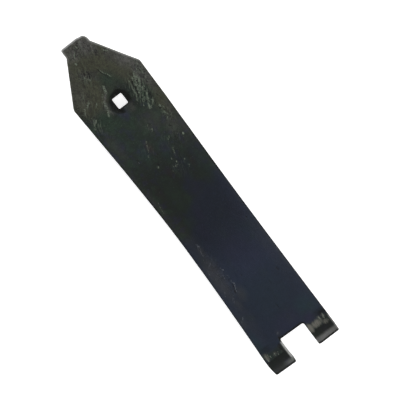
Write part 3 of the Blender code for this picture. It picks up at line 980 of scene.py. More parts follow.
    def _bare_edge_highlight(self, site: Site) -> np.ndarray:
        """Bare edges with a painted highlight: round the tongue, along the right taper and tab, and the
        notch's left wall.

        Args:
            site: the points.

        Returns:
            One share for each point.
        """
        place = site.place
        near = self.bare_lit_rim.share(place, site.fine) * smooth_step(site.facing, *self.bare_lit_facing)
        head = self.bare_lit_head.share(place) * (self.bare_lit_left_level + self.bare_lit_right.share(place))
        head *= self.bare_lit_side_level + self.bare_lit_end.share(place)
        wall = smooth_step(np.abs(place[Way.ACROSS] - self.notch_wall_across), *self.notch_wall_fade)
        wall *= self.notch_wall.share(place)
        return np.maximum(near * np.maximum(head, self.bare_lit_tab.share(place)), wall)


@dataclass
class PlateSurface:
    """The plate's whole surface as one closed mesh, built in the flat and then bent."""

    name: str = "dressed_plate"
    blank: Blank = field(default_factory=Blank)
    bends: Bends = field(default_factory=Bends)
    forging: ForgedSurface = field(default_factory=ForgedSurface)
    wear: WearMap = field(default_factory=WearMap)
    spacing: float = 0.0010
    shortest_side: float = 1e-9
    ring_margin: float = 0.0016
    rim_steps: int = 4
    wall_steps: int = 5
    mouth_softening: float = 0.0006
    mouth_stages: tuple[tuple[float, float], ...] = ((1.0, 0.04), (0.3, 0.16), (-0.5, 0.62))
    cone_shares: tuple[float, ...] = (0.25, 0.5, 0.75, 0.94)
    throat_softening: float = 0.0001
    bore_shares: tuple[float, ...] = (0.15, 0.55, 1.0)
    back_softening: float = 0.0003
    back_rounding_share: float = 0.3
    back_rings: int = 6

    def stations(self, keys: list[float]) -> np.ndarray:
        """Values from the first key to the last, about one spacing apart, with every key among them.

        Args:
            keys: values in rising order.

        Returns:
            The values, rising.
        """
        runs = []
        for low, high in zip(keys, keys[1:]):
            runs.append(np.linspace(low, high, max(1, round((high - low) / self.spacing)) + 1)[:-1])
        return np.concatenate(runs + [keys[-1:]])

    def outline_distance(self, points: np.ndarray) -> tuple[np.ndarray, np.ndarray]:
        """Distance inside the outline, and the nearest point of the outline.

        The distance to each side is that to the nearest point of its segment. A point is inside
        where a ray from it crosses the sides an odd number of times.

        Args:
            points: rows of along and across.

        Returns:
            The distance of each point, positive inside, and the nearest points.
        """
        start = self.blank.outline(self.bends)
        way = np.roll(start, -1, axis=0) - start
        keep = np.linalg.norm(way, axis=1) > self.shortest_side
        start, way = start[keep], way[keep]
        rel = points[:, None] - start[None]
        share = np.clip((rel * way).sum(axis=2) / (way * way).sum(axis=1), 0, 1)
        off = rel - share[..., None] * way
        gaps = np.linalg.norm(off, axis=2)
        best = gaps.argmin(axis=1)
        rows = np.arange(len(points))
        end = start + way
        spans = (start[:, 1] > points[:, None, 1]) != (end[:, 1] > points[:, None, 1])
        rise = np.where(way[:, 1] == 0, 1, way[:, 1])
        cross = start[:, 0] + (points[:, None, 1] - start[:, 1]) * way[:, 0] / rise
        inside = (spans & (points[:, None, 0] < cross)).sum(axis=1) % 2 == 1
        sign = np.where(inside, 1, -1)
        return gaps[rows, best] * sign, points - off[rows, best]

    def sheet(self) -> tuple[np.ndarray, np.ndarray, np.ndarray, np.ndarray]:
        """A net of points over the flat face, cut to the outline less its rim, with a round gap.

        Cells with four kept corners are squares, and those with three are triangles. A corner is
        kept if it lies inside, or less than half a spacing outside. The points round the net's
        edge are then moved onto the line that they are nearest to.

        Returns:
            The points, the squares, the triangles, and the directed edges round the net.
        """
        blank, bends = self.blank, self.bends
        side, notch = blank.width / 2 - blank.rim, blank.notch_width / 2 + blank.rim
        along = self.stations([blank.rim, blank.notch_root(bends) - blank.rim, bends.length - blank.rim])
        across = self.stations([-side, -notch, notch, side])
        points = np.stack(np.meshgrid(along, across, indexing="ij"), axis=2).reshape(-1, 2)
        inside, _ = self.outline_distance(points)
        hole = np.linalg.norm(points - blank.hole, axis=1) - self.ring_radius()
        kept = np.minimum(inside - blank.rim, hole) > -self.spacing / 2
        ids = np.arange(len(points)).reshape(len(along), len(across))
        corners = np.stack((ids[:-1, :-1], ids[1:, :-1], ids[1:, 1:], ids[:-1, 1:]), axis=2).reshape(-1, 4)
        count = kept[corners].sum(axis=1)
        squares = corners[count == 4]
        cut = corners[count == 3]
        triangles = cut[kept[cut]].reshape(-1, 3)
        used = np.unique(np.concatenate((squares.ravel(), triangles.ravel())))
        renumber = np.full(len(points), -1)
        renumber[used] = np.arange(len(used))
        return self._snap(points[used], renumber[squares], renumber[triangles])

    def _snap(self, points: np.ndarray, squares: np.ndarray,
              triangles: np.ndarray) -> tuple[np.ndarray, np.ndarray, np.ndarray, np.ndarray]:
        """Move the points round the net's edge onto the outline less its rim, or onto the round gap.

        Args:
            points: rows of along and across.
            squares: rows of four point numbers.
            triangles: rows of three point numbers.

        Returns:
            The points, squares and triangles, and the directed edges round the net.
        """
        edges = self.border(squares, triangles, len(points))
        rim = np.unique(edges)
        gap, nearest = self.outline_distance(points[rim])
        inward = (points[rim] - nearest) / gap[:, None]
        on_outline = nearest + self.blank.rim * inward
        arm = points[rim] - self.blank.hole
        reach = np.linalg.norm(arm, axis=1)
        on_ring = self.blank.hole + arm * (self.ring_radius() / reach)[:, None]
        round_hole = np.abs(reach - self.ring_radius()) < 2 * self.spacing
        points = points.copy()
        points[rim] = np.where(round_hole[:, None], on_ring, on_outline)
        return points, squares, triangles, edges

    @staticmethod
    def border(squares: np.ndarray, triangles: np.ndarray, count: int) -> np.ndarray:
        """Directed edges that only one face has.

        Args:
            squares: rows of four point numbers.
            triangles: rows of three point numbers.
            count: how many points there are.

        Returns:
            Rows of two point numbers.
        """
        sides = [np.stack((squares[:, k], squares[:, (k + 1) % 4]), axis=1) for k in range(4)]
        sides += [np.stack((triangles[:, k], triangles[:, (k + 1) % 3]), axis=1) for k in range(3)]
        edges = np.concatenate(sides)
        single = ~np.isin(edges[:, 0] * count + edges[:, 1], edges[:, 1] * count + edges[:, 0])
        return edges[single]

    def ring_radius(self) -> float:
        """Radius of the round gap that the countersink and the hole are set into."""
        return self.blank.countersink_diameter / 2 + self.ring_margin

    def rim_section(self) -> np.ndarray:
        """Section of the outer rim, from the front face round to the back.

        It is two quarter circles of the rim's radius with a straight wall between them.

        Returns:
            Rows of the distance outwards and the depth.
        """
        rim, thick = self.blank.rim, self.blank.thickness
        angle = np.linspace(0, math.pi / 2, self.rim_steps + 1)
        front = np.stack((rim * np.sin(angle), -rim * (1 - np.cos(angle))), axis=1)
        depth = np.linspace(-rim, rim - thick, self.wall_steps + 1)[1:-1]
        wall = np.stack((np.full(len(depth), rim), depth), axis=1)
        back = np.stack((rim * np.cos(angle), rim - thick - rim * np.sin(angle)), axis=1)
        return np.concatenate((front, wall, back))

    def hole_section(self, angle: np.ndarray) -> np.ndarray:
        """Section of the hole in each direction, from the front face's gap in, down and out again.

        It goes in over the countersink's softened rim, down its cone at 45 degrees to the square,
        down the square's wall, round its lower edge, and out along the back face.

        Args:
            angle: directions from the hole's centre.

        Returns:
            Rows of stages by directions by (radius, depth).
        """
        blank = self.blank
        mouth, thick = blank.countersink_diameter / 2, blank.thickness
        reach = blank.square_reach(angle)
        soft, lower, throat = self.mouth_softening, self.back_softening, reach - mouth
        stages = [(mouth + out * soft, -down * soft) for out, down in self.mouth_stages]
        stages += [(mouth + throat * share, throat * share) for share in self.cone_shares]
        stages.append((reach + self.throat_softening, throat - 2 * self.throat_softening))
        straight = 2 * lower - thick - throat
        stages += [(reach, throat - lower + straight * share) for share in self.bore_shares]
        rounding = self.back_rounding_share * lower
        stages.append((reach + rounding, rounding - thick))
        start = reach + lower
        for step in range(self.back_rings):
            stages.append((start + (self.ring_radius() - start) * step / self.back_rings, -thick))
        return np.array([np.stack(np.broadcast_arrays(radius, depth, angle)[:2], axis=1)
                         for radius, depth in stages])

    def flat_mesh(self) -> tuple[np.ndarray, np.ndarray, np.ndarray]:
        """The closed surface in the flat: two sheets, the rim between them, and the hole.

        The rim's section is carried along the sheets' outer edge, facing away from the face, and
        the hole's section is carried round its centre. Each is joined to both sheets.

        Returns:
            Points as rows of along, across and depth, then the squares and the triangles.
        """
        points, squares, triangles, edges = self.sheet()
        count = len(points)
        rim = np.unique(edges)
        from_hole = np.linalg.norm(points[rim] - self.blank.hole, axis=1)
        at_hole = from_hole < self.ring_radius() + self.spacing / 4
        outer, inner = rim[~at_hole], rim[at_hole]
        _, nearest = self.outline_distance(points[outer])
        outward = (nearest - points[outer]) / np.linalg.norm(nearest - points[outer], axis=1)[:, None]
        section = self.rim_section()[1:-1]
        around = points[outer][None] + section[:, None, :1] * outward[None]
        depth = np.broadcast_to(section[:, None, 1:], (*around.shape[:2], 1))
        walls = np.concatenate((around, depth), axis=2)
        arm = points[inner] - self.blank.hole
        angle = np.arctan2(arm[:, 1], arm[:, 0])
        cone = self.hole_section(angle)
        way = np.stack((np.cos(angle), np.sin(angle)), axis=1)
        bore = np.concatenate((self.blank.hole + cone[..., :1] * way[None], cone[..., 1:]), axis=2)
        face = np.zeros((count, 1))
        flat = np.concatenate((np.hstack((points, face)), np.hstack((points, face - self.blank.thickness)),
                               walls.reshape(-1, 3), bore.reshape(-1, 3)))
        quads = [squares, squares[:, ::-1] + count]
        first = 2 * count
        for members, stages in ((outer, len(walls)), (inner, len(bore))):
            place = np.full(count, -1)
            place[members] = np.arange(len(members))
            mine = edges[(place[edges] >= 0).all(axis=1)]
            column = place[mine]
            rows = [first + stage * len(members) + column for stage in range(stages)]
            for upper, lower in zip([mine, *rows], [*rows, mine + count]):
                quads.append(np.stack((upper[:, 1], upper[:, 0], lower[:, 0], lower[:, 1]), axis=1))
            first += stages * len(members)
        return flat, np.concatenate(quads), np.concatenate((triangles, triangles[:, ::-1] + count))

    @staticmethod
    def normals(points: np.ndarray, squares: np.ndarray, triangles: np.ndarray) -> np.ndarray:
        """Unit normals of the points, as the sum of their faces' area vectors.

        Args:
            points: rows of three.
            squares: rows of four point numbers.
            triangles: rows of three point numbers.

        Returns:
            One normal for each point.
        """
        total = np.zeros_like(points)
        square_area = np.cross(points[squares[:, 2]] - points[squares[:, 0]],
                               points[squares[:, 3]] - points[squares[:, 1]])
        triangle_area = np.cross(points[triangles[:, 1]] - points[triangles[:, 0]],
                                 points[triangles[:, 2]] - points[triangles[:, 0]])
        for faces, area in ((squares, square_area), (triangles, triangle_area)):
            for column in faces.T:
                np.add.at(total, column, area)
        return total / np.linalg.norm(total, axis=1)[:, None]

    def lay_down(self, bent: np.ndarray) -> np.ndarray:
        """Turn the bent plate about Y and move it, so that its tongue's end is where the solid's is.

        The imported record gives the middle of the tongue's end face and the way that it faces. The
        head's slope is that of this direction, and the same middle in the bent plate goes there.

        Args:
            bent: points as rows of X, Y and Z, with the head level.

        Returns:
            The points in place.
        """
        mount = next(item for item in frame["record"]["mounts"] if item["name"] == END_MOUNT)
        facing, place = mount["axis"], mount["pos_m"]
        slope = math.atan2(facing[2], -facing[0])
        middle = np.array([[0.0, 0.0, -self.blank.thickness / 2]])
        end_x, end_z = self.turned(self.bends.fold(middle), slope)
        x, z = self.turned(bent, slope)
        log.info("laid down by %.3f degrees", math.degrees(slope))
        return np.stack((x - end_x + place[0], bent[:, 1], z - end_z + place[2]), axis=1)

    @staticmethod
    def turned(bent: np.ndarray, slope: float) -> tuple[np.ndarray, np.ndarray]:
        """X and Z of points turned about Y, so that a line of that slope becomes level.

        Args:
            bent: points as rows of X, Y and Z.
            slope: the slope, in radians.

        Returns:
            The new X and Z.
        """
        return (bent[:, 0] * math.cos(slope) + bent[:, 2] * math.sin(slope),
                bent[:, 2] * math.cos(slope) - bent[:, 0] * math.sin(slope))

    def build(self) -> bpy.types.Object:
        """Build the mesh, store the masks on it, and put it into the scene.

        Returns:
            The plate's object, at the origin and unturned.
        """
        flat, squares, triangles = self.flat_mesh()
        normals = self.normals(flat, squares, triangles)
        edge, _ = self.outline_distance(flat[:, :2])
        edge = np.maximum(edge, 0)
        facing = normals[:, 2]
        sunk = self.forging.pull_in(flat - normals * self.forging.sink(flat, edge, facing)[:, None])
        placed = self.lay_down(self.bends.fold(sunk))
        mesh = bpy.data.meshes.new(self.name)
        mesh.from_pydata(placed.tolist(), [], squares.tolist() + triangles.tolist())
        self._store(mesh, FLAT_PLACE, flat, "FLOAT_VECTOR", "vector")
        for mask, share in self.wear.shares(flat, edge, facing, self.blank.hole).items():
            self._store(mesh, mask.value, share, "FLOAT", "value")
        self._unroll(mesh, flat)
        mesh.shade_smooth()
        piece = bpy.data.objects.new(self.name, mesh)
        bpy.context.scene.collection.objects.link(piece)
        log.info("%s: %d points, %d triangles", self.name, len(flat), 2 * len(squares) + len(triangles))
        return piece

    @staticmethod
    def _store(mesh: bpy.types.Mesh, name: str, values: np.ndarray, kind: str, key: str) -> None:
        """Store one value for each point of the mesh under a name.

        Args:
            mesh: the mesh.
            name: the attribute's name.
            values: one number or one row of three for each point.
            kind: the attribute's type.
            key: what its values are called.
        """
        attribute = mesh.attributes.new(name, kind, "POINT")
        attribute.data.foreach_set(key, values.astype(np.float32).ravel())

    @staticmethod
    def _unroll(mesh: bpy.types.Mesh, flat: np.ndarray) -> None:
        """Lay the flat place out as the mesh's UV map, with deeper points nearer to the middle line.

        Args:
            mesh: the mesh.
            flat: points as rows of along, across and depth.
        """
        corners = np.empty(len(mesh.loops), np.int32)
        mesh.loops.foreach_get("vertex_index", corners)
        unrolled = flat[:, :2] + np.array([0, 1]) * flat[:, 2:] * np.sign(flat[:, 1:2])
        layer = mesh.uv_layers.new(name="developed")
        layer.uv.foreach_set("vector", unrolled[corners].astype(np.float32).ravel())


@dataclass(frozen=True)
class Noise:
    """One noise on the flat blank, about 0.5 on average.

    It has so many lumps for each millimetre, so many finer sizes on the widest, and the strength of
    each finer size as a share of the last one's. Its lumps may be longer than wide, in a direction
    given in degrees from along the bar. A shift makes two noises differ.
    """

    scale: float
    detail: float = 3
    rough: float = 0.55
    stretch: float = 1.0
    turn: float = 0.0
    shift: float = 0.0


@dataclass(frozen=True)
class Rise:
    """A smooth rise, while a value goes from low to high, between two levels."""

    low: float
    high: float
    start: float = 0.0
    end: float = 1.0


Socket = bpy.types.NodeSocket
Colour = tuple[float, float, float]


class Graph:
    """Short ways to make and join the nodes of one material."""

    def __init__(self, name: str) -> None:
        """Start an empty material with its output.

        Args:
            name: the material's name.
        """
        self.material = bpy.data.materials.new(name)
        self.material.use_nodes = True
        self.tree = self.material.node_tree
        self.tree.nodes.clear()
        self.output = self.tree.nodes.new("ShaderNodeOutputMaterial")

    def node(self, kind: str, inputs: dict | None = None, **settings: object) -> bpy.types.Node:
        """Make a node, set its properties, and join or set its inputs.

        Args:
            kind: the node's type.
            inputs: a socket or a value for each input, by name or number.
            settings: properties of the node.

        Returns:
            The node.
        """
        made = self.tree.nodes.new(kind)
        for key, value in settings.items():
            setattr(made, key, value)
        for key, value in (inputs or {}).items():
            if isinstance(value, Socket):
                self.tree.links.new(value, made.inputs[key])
            else:
                made.inputs[key].default_value = value
        return made

    def share(self, mask: Mask) -> Socket:
        """The socket of one mask."""
        return self.node("ShaderNodeAttribute", attribute_name=mask.value).outputs["Fac"]

    def math(self, operation: str, *values: Socket | float, clamp: bool = False) -> Socket:
        """A Math node's socket, from sockets or numbers."""
        inputs = dict(enumerate(values))
        return self.node("ShaderNodeMath", inputs, operation=operation, use_clamp=clamp).outputs[0]

    def times(self, first: Socket | float, second: Socket | float) -> Socket:
        """The product of two sockets or numbers."""
        return self.math("MULTIPLY", first, second)

    def add(self, part: Socket | float, factor: Socket | float, rest: Socket | float) -> Socket:
        """A part times a factor, and the rest added."""
        return self.math("MULTIPLY_ADD", part, factor, rest)

    def mix(self, share: Socket | float, first: Socket | Colour, second: Socket | Colour,
            blend: str = "MIX") -> Socket:
        """A colour between two, by a share.

        Args:
            share: 0 for the first and 1 for the second.
            first: a socket or a colour.
            second: a socket or a colour.
            blend: how the second is laid on the first.

        Returns:
            The colour's socket.
        """
        first, second = (value if isinstance(value, Socket) else (*value, 1) for value in (first, second))
        node = self.node("ShaderNodeMix", {0: share, 6: first, 7: second}, data_type="RGBA", blend_type=blend)
        return node.outputs[2]

    def rise(self, value: Socket, rise: Rise) -> Socket:
        """A smooth rise of a value."""
        inputs = {0: value, 1: rise.low, 2: rise.high, 3: rise.start, 4: rise.end}
        return self.node("ShaderNodeMapRange", inputs, interpolation_type="SMOOTHSTEP").outputs[0]

    def noise(self, place: Socket, noise: Noise) -> Socket:
        """A noise's socket.

        Args:
            place: the flat blank's place, in millimetres.
            noise: its settings.

        Returns:
            The socket.
        """
        moved = self.node("ShaderNodeMapping", {
            "Vector": place,
            "Location": (noise.shift, noise.shift, noise.shift),
            "Rotation": (0, 0, math.radians(noise.turn)),
            "Scale": (noise.stretch / noise.scale, 1 / noise.scale, 1 / noise.scale),
        }, vector_type="TEXTURE")
        inputs = {"Vector": moved.outputs[0], "Scale": 1.0, "Detail": noise.detail, "Roughness": noise.rough}
        return self.node("ShaderNodeTexNoise", inputs).outputs[0]


@dataclass(frozen=True)
class Textures:
    """What the paint's colour, gloss and bumps are made from, each from 0 to 1 but for the lumps."""

    rough: Socket
    grain: Socket
    brush: Socket
    lumps: Socket
    lumpy: Socket
    streaks: Socket
    gaps: Socket
    specks: Socket
    holes: Socket
    marks: Socket
    pits: Socket
    # brush-marked steel with a painted highlight
    brushed_and_highlight: Socket
    # bare edges with a painted highlight
    edge: Socket


STREAK_TURN = -28.0


@dataclass(frozen=True)
class WornPaint:
    """Thin dark paint over forging scale, with painted shade, highlights and a floor reflection: its colours,
    its textures and how strongly they show.
    """

    olive: Colour = (0.044, 0.046, 0.028)
    green: Colour = (0.0150, 0.0310, 0.0190)
    green_black: Colour = (0.0125, 0.0195, 0.0155)
    blue_black: Colour = (0.0117, 0.0190, 0.0380)
    # grey scale, also used for the painted sheen
    grey: Colour = (0.054, 0.053, 0.047)
    teal: Colour = (0.011, 0.028, 0.041)
    purple: Colour = (0.0170, 0.0180, 0.0450)
    red: Colour = (0.024, 0.016, 0.015)
    # painted shade: near black, for shade and dark reflections
    shade_black: Colour = (0.0030, 0.0040, 0.0030)
    light_scale: Colour = (0.168, 0.203, 0.152)
    pale_blue: Colour = (0.095, 0.108, 0.130)
    # bare steel with a painted highlight on the rims
    bare_edge_highlight: Colour = (0.400, 0.405, 0.390)
    # rubbed paint, and on the tabs' legs a painted reflection of the white floor
    rubbed: Colour = (0.135, 0.133, 0.126)
    # brush-marked steel with a painted highlight
    brushed_steel_and_highlight: Colour = (0.165, 0.162, 0.138)

    clouds: Noise = Noise(0.045, 3, 0.5)
    patches: Noise = Noise(0.12, 2, 0.45, shift=91.0)
    mottle: Noise = Noise(0.24, 5, 0.66, shift=31.0)
    grain: Noise = Noise(0.90, 4, 0.64, shift=7.0)
    flakes: Noise = Noise(0.66, 3, 0.55, shift=53.0)
    streaks: Noise = Noise(0.78, 3, 0.62, 4.0, STREAK_TURN, 3.0)
    veins: Noise = Noise(0.34, 3, 0.6, 1.6, STREAK_TURN, 113.0)
    threads: Noise = Noise(1.15, 2, 0.5, 3.6, STREAK_TURN, 71.0)
    brush: Noise = Noise(1.5, 4, 0.72, 6.0, -6.0, 11.0)

    streak_rise: Rise = Rise(0.52, 0.59)
    gap_rise: Rise = Rise(0.48, 0.40)
    speck_rise: Rise = Rise(0.61, 0.68)
    hole_rise: Rise = Rise(0.41, 0.33)
    vein_rise: Rise = Rise(0.030, 0.008)
    vein_where: Rise = Rise(0.30, 0.75)
    ragged: Rise = Rise(0.30, 0.66, 0.35, 1.45)
    threaded: Rise = Rise(0.40, 0.58, 0.40, 1.30)
    mark_rise: Rise = Rise(0.12, 0.60)
    pit_rise: Rise = Rise(0.12, 0.55)
    brush_factor: float = 1.3
    brushed_and_highlight_rise: Rise = Rise(0.85, 1.70)
    brushed_and_highlight_where: Rise = Rise(0.02, 0.35)
    bare_edge_highlight_grain: Rise = Rise(0.30, 0.55, 0.6, 1.0)
    mottle_lumps: Rise = Rise(0.36, 0.64, -0.62, 0.62)
    grain_lumps: Rise = Rise(0.33, 0.67, -0.95, 0.95)

    green_patches: Rise = Rise(0.53, 0.62, 0.0, 0.75)
    purple_patches: Rise = Rise(0.46, 0.37, 0.0, 0.48)
    purple_clouds: Rise = Rise(0.56, 0.72, 0.0, 0.22)
    green_clouds: Rise = Rise(0.44, 0.28, 0.0, 0.22)
    shade_depth: float = -0.50
    gap_depth: float = -0.60
    pit_depth: float = -0.90
    hole_depth: float = -0.80
    least_level: float = 0.06
    rubbed_and_reflected_brush: Rise = Rise(0.36, 0.60, 0.62, 0.98)
    streak_cover: float = 0.50
    speck_cover: float = 0.55
    mark_cover: float = 0.88

    gloss: float = 0.24
    brushed_metal: float = 0.4
    roughness: Rise = Rise(0.3, 0.7, 0.42, 0.56)
    shade_black_roughness: float = 0.35
    streak_roughness: float = -0.10
    mark_height: float = 0.8
    grain_height: float = 0.12
    bump_strength: float = 0.6
    bump_distance: float = 0.0006

    def material(self) -> bpy.types.Material:
        """Build the finish as one material.

        Returns:
            The material.
        """
        graph = Graph("worn_dark_paint_and_painted_light")
        flat = graph.node("ShaderNodeAttribute", attribute_name=FLAT_PLACE).outputs["Vector"]
        place = graph.node("ShaderNodeVectorMath", {0: flat, 3: 1 / MM}, operation="SCALE").outputs[0]
        parts = self._textures(graph, place)
        colour = self._worn_colour(graph, parts, self._paint_colour(graph, place, parts))
        rough = graph.rise(parts.grain, self.roughness)
        rough = graph.add(graph.share(Mask.BLACK_SHADE), self.shade_black_roughness, rough)
        rough = graph.math("MULTIPLY_ADD", parts.streaks, self.streak_roughness, rough, clamp=True)
        height = graph.times(parts.rough, parts.lumps)
        height = graph.add(parts.streaks, self.mark_height, height)
        height = graph.add(parts.marks, self.mark_height, height)
        height = graph.add(parts.pits, -self.mark_height, height)
        height = graph.add(parts.grain, self.grain_height, height)
        bump = graph.node("ShaderNodeBump", {"Height": height, "Strength": self.bump_strength,
                                             "Distance": self.bump_distance})
        surface = graph.node("ShaderNodeBsdfPrincipled", {
            "Base Color": colour,
            "Roughness": rough,
            "Normal": bump.outputs[0],
            "Metallic": graph.times(parts.brushed_and_highlight, self.brushed_metal),
            "Specular IOR Level": self.gloss,
        })
        graph.tree.links.new(surface.outputs[0], graph.output.inputs["Surface"])
        return graph.material

    def _textures(self, graph: Graph, place: Socket) -> Textures:
        """The noises, and what they make of the masks: streaks, gaps, specks, holes, marks and pits.

        Args:
            graph: the material's nodes.
            place: the flat blank's place, in millimetres.

        Returns:
            The textures.
        """
        grain, brush = graph.noise(place, self.grain), graph.noise(place, self.brush)
        streaks, flakes = graph.noise(place, self.streaks), graph.noise(place, self.flakes)
        rough, streaked = graph.share(Mask.ROUGH), graph.share(Mask.STREAKS)
        off_vein = graph.math("ABSOLUTE", graph.math("SUBTRACT", graph.noise(place, self.veins), 0.5))
        veins = graph.times(graph.rise(off_vein, self.vein_rise), graph.rise(rough, self.vein_where))
        ragged = graph.rise(grain, self.ragged)
        threads = graph.rise(graph.noise(place, self.threads), self.threaded)
        marks = graph.times(graph.times(graph.share(Mask.LIGHT), ragged), threads)
        brushed_and_highlight = graph.add(brush, self.brush_factor, graph.share(Mask.BRUSHED_AND_HIGHLIGHT))
        brushed_and_highlight_where = graph.rise(graph.share(Mask.BRUSHED_AND_HIGHLIGHT), self.brushed_and_highlight_where)
        mottled = graph.rise(graph.noise(place, self.mottle), self.mottle_lumps)
        lumps = graph.math("ADD", mottled, graph.rise(grain, self.grain_lumps))
        return Textures(
            rough=rough,
            grain=grain,
            brush=brush,
            lumps=lumps,
            lumpy=graph.add(lumps, rough, 1.0),
            streaks=graph.times(graph.rise(streaks, self.streak_rise), streaked),
            gaps=graph.times(graph.rise(streaks, self.gap_rise), streaked),
            specks=graph.times(graph.rise(flakes, self.speck_rise), rough),
            holes=graph.math("MAXIMUM", graph.times(graph.rise(flakes, self.hole_rise), rough), veins),
            marks=graph.rise(marks, self.mark_rise),
            pits=graph.rise(graph.times(graph.share(Mask.PITS), ragged), self.pit_rise),
            brushed_and_highlight=graph.times(graph.rise(brushed_and_highlight, self.brushed_and_highlight_rise), brushed_and_highlight_where),
            edge=graph.times(graph.share(Mask.EDGE), graph.rise(grain, self.bare_edge_highlight_grain)),
        )

    def _paint_colour(self, graph: Graph, place: Socket, parts: Textures) -> Socket:
        """The paint's own colour, with its patches and clouds, darkened by lumps, painted shade and pits.

        Args:
            graph: the material's nodes.
            place: the flat blank's place, in millimetres.
            parts: the textures.

        Returns:
            The colour's socket.
        """
        patches, clouds = graph.noise(place, self.patches), graph.noise(place, self.clouds)
        colour = graph.mix(graph.rise(patches, self.green_patches), self.green_black, self.green)
        colour = graph.mix(graph.rise(patches, self.purple_patches), colour, self.purple)
        for mask, tint in ((Mask.OLIVE, self.olive), (Mask.BLUE, self.blue_black), (Mask.GREEN, self.green),
                           (Mask.GREY_AND_SHEEN, self.grey), (Mask.TEAL, self.teal), (Mask.PURPLE, self.purple),
                           (Mask.RED, self.red)):
            colour = graph.mix(graph.share(mask), colour, tint)
        colour = graph.mix(graph.rise(clouds, self.purple_clouds), colour, self.purple)
        colour = graph.mix(graph.rise(clouds, self.green_clouds), colour, self.green)
        level = parts.lumpy
        for share, depth in ((graph.share(Mask.SHADE), self.shade_depth), (parts.gaps, self.gap_depth),
                             (parts.pits, self.pit_depth), (parts.holes, self.hole_depth)):
            level = graph.times(level, graph.add(share, depth, 1.0))
        level = graph.math("MAXIMUM", level, self.least_level)
        grey = graph.node("ShaderNodeCombineColor", {0: level, 1: level, 2: level}).outputs[0]
        return graph.mix(1.0, colour, grey, "MULTIPLY")

    def _worn_colour(self, graph: Graph, parts: Textures, colour: Socket) -> Socket:
        """The paint with painted black shade, rubbed places, a painted floor reflection on the tabs' legs,
        light scale, and painted highlights on bare edges and brush-marked steel.

        Args:
            graph: the material's nodes.
            parts: the textures.
            colour: the paint's own colour.

        Returns:
            The colour's socket.
        """
        # painted black shade
        colour = graph.mix(graph.share(Mask.BLACK_SHADE), colour, self.shade_black)
        # rubbed paint, and the painted floor reflection on the tabs' legs
        rubbed_and_reflected = graph.times(graph.share(Mask.WORN_AND_REFLECTED), graph.rise(parts.brush, self.rubbed_and_reflected_brush))
        lumpy = graph.math("MAXIMUM", parts.lumpy, 0.0)
        colour = graph.mix(graph.math("MULTIPLY", rubbed_and_reflected, lumpy, clamp=True), colour, self.rubbed)
        scale = graph.mix(graph.share(Mask.BLUE), self.light_scale, self.pale_blue)
        for share, cover in ((parts.streaks, self.streak_cover), (parts.specks, self.speck_cover),
                             (parts.marks, self.mark_cover)):
            colour = graph.mix(graph.math("MULTIPLY", share, cover, clamp=True), colour, scale)
        # bare edges with a painted highlight
        colour = graph.mix(parts.edge, colour, self.bare_edge_highlight)
        # brush-marked steel with a painted highlight
        return graph.mix(parts.brushed_and_highlight, colour, self.brushed_steel_and_highlight)


@dataclass(frozen=True)
class StageFinish:
    """White matt floor: lit as it is, with a little white of its own for the eye and for gloss."""

    colour: float = 0.86
    own_light: float = 0.70

    def material(self) -> bpy.types.Material:
        """Build the floor's material.

        Returns:
            The material.
        """
        graph = Graph("white_floor")
        path = graph.node("ShaderNodeLightPath")
        seen = graph.math("MAXIMUM", path.outputs["Is Camera Ray"], path.outputs["Is Glossy Ray"])
        seen = graph.math("MAXIMUM", seen, path.outputs["Is Transmission Ray"])
        surface = graph.node("ShaderNodeBsdfDiffuse", {"Color": (self.colour, self.colour, self.colour, 1)})
        glow = graph.node("ShaderNodeEmission", {"Strength": graph.times(seen, self.own_light)})
        both = graph.node("ShaderNodeAddShader", {0: surface.outputs[0], 1: glow.outputs[0]})
        graph.tree.links.new(both.outputs[0], graph.output.inputs["Surface"])
        return graph.material


@dataclass(frozen=True)
class SoftLamp:
    """A far lamp with a wide disc: where it stands, how strong it is and how soft."""

    name: str
    towards: tuple[float, float, float]
    strength: float
    spread: float
    colour: tuple[float, float, float] = (1.0, 1.0, 1.0)

    def build(self) -> None:
        """Put the lamp into the scene, shining from its direction onto the origin."""
        data = bpy.data.lights.new(self.name, "SUN")
        data.energy = self.strength
        data.angle = math.radians(self.spread)
        data.color = self.colour
        lamp = bpy.data.objects.new(self.name, data)
        lamp.rotation_euler = Vector(self.towards).to_track_quat("Z", "Y").to_euler()
        bpy.context.scene.collection.objects.link(lamp)


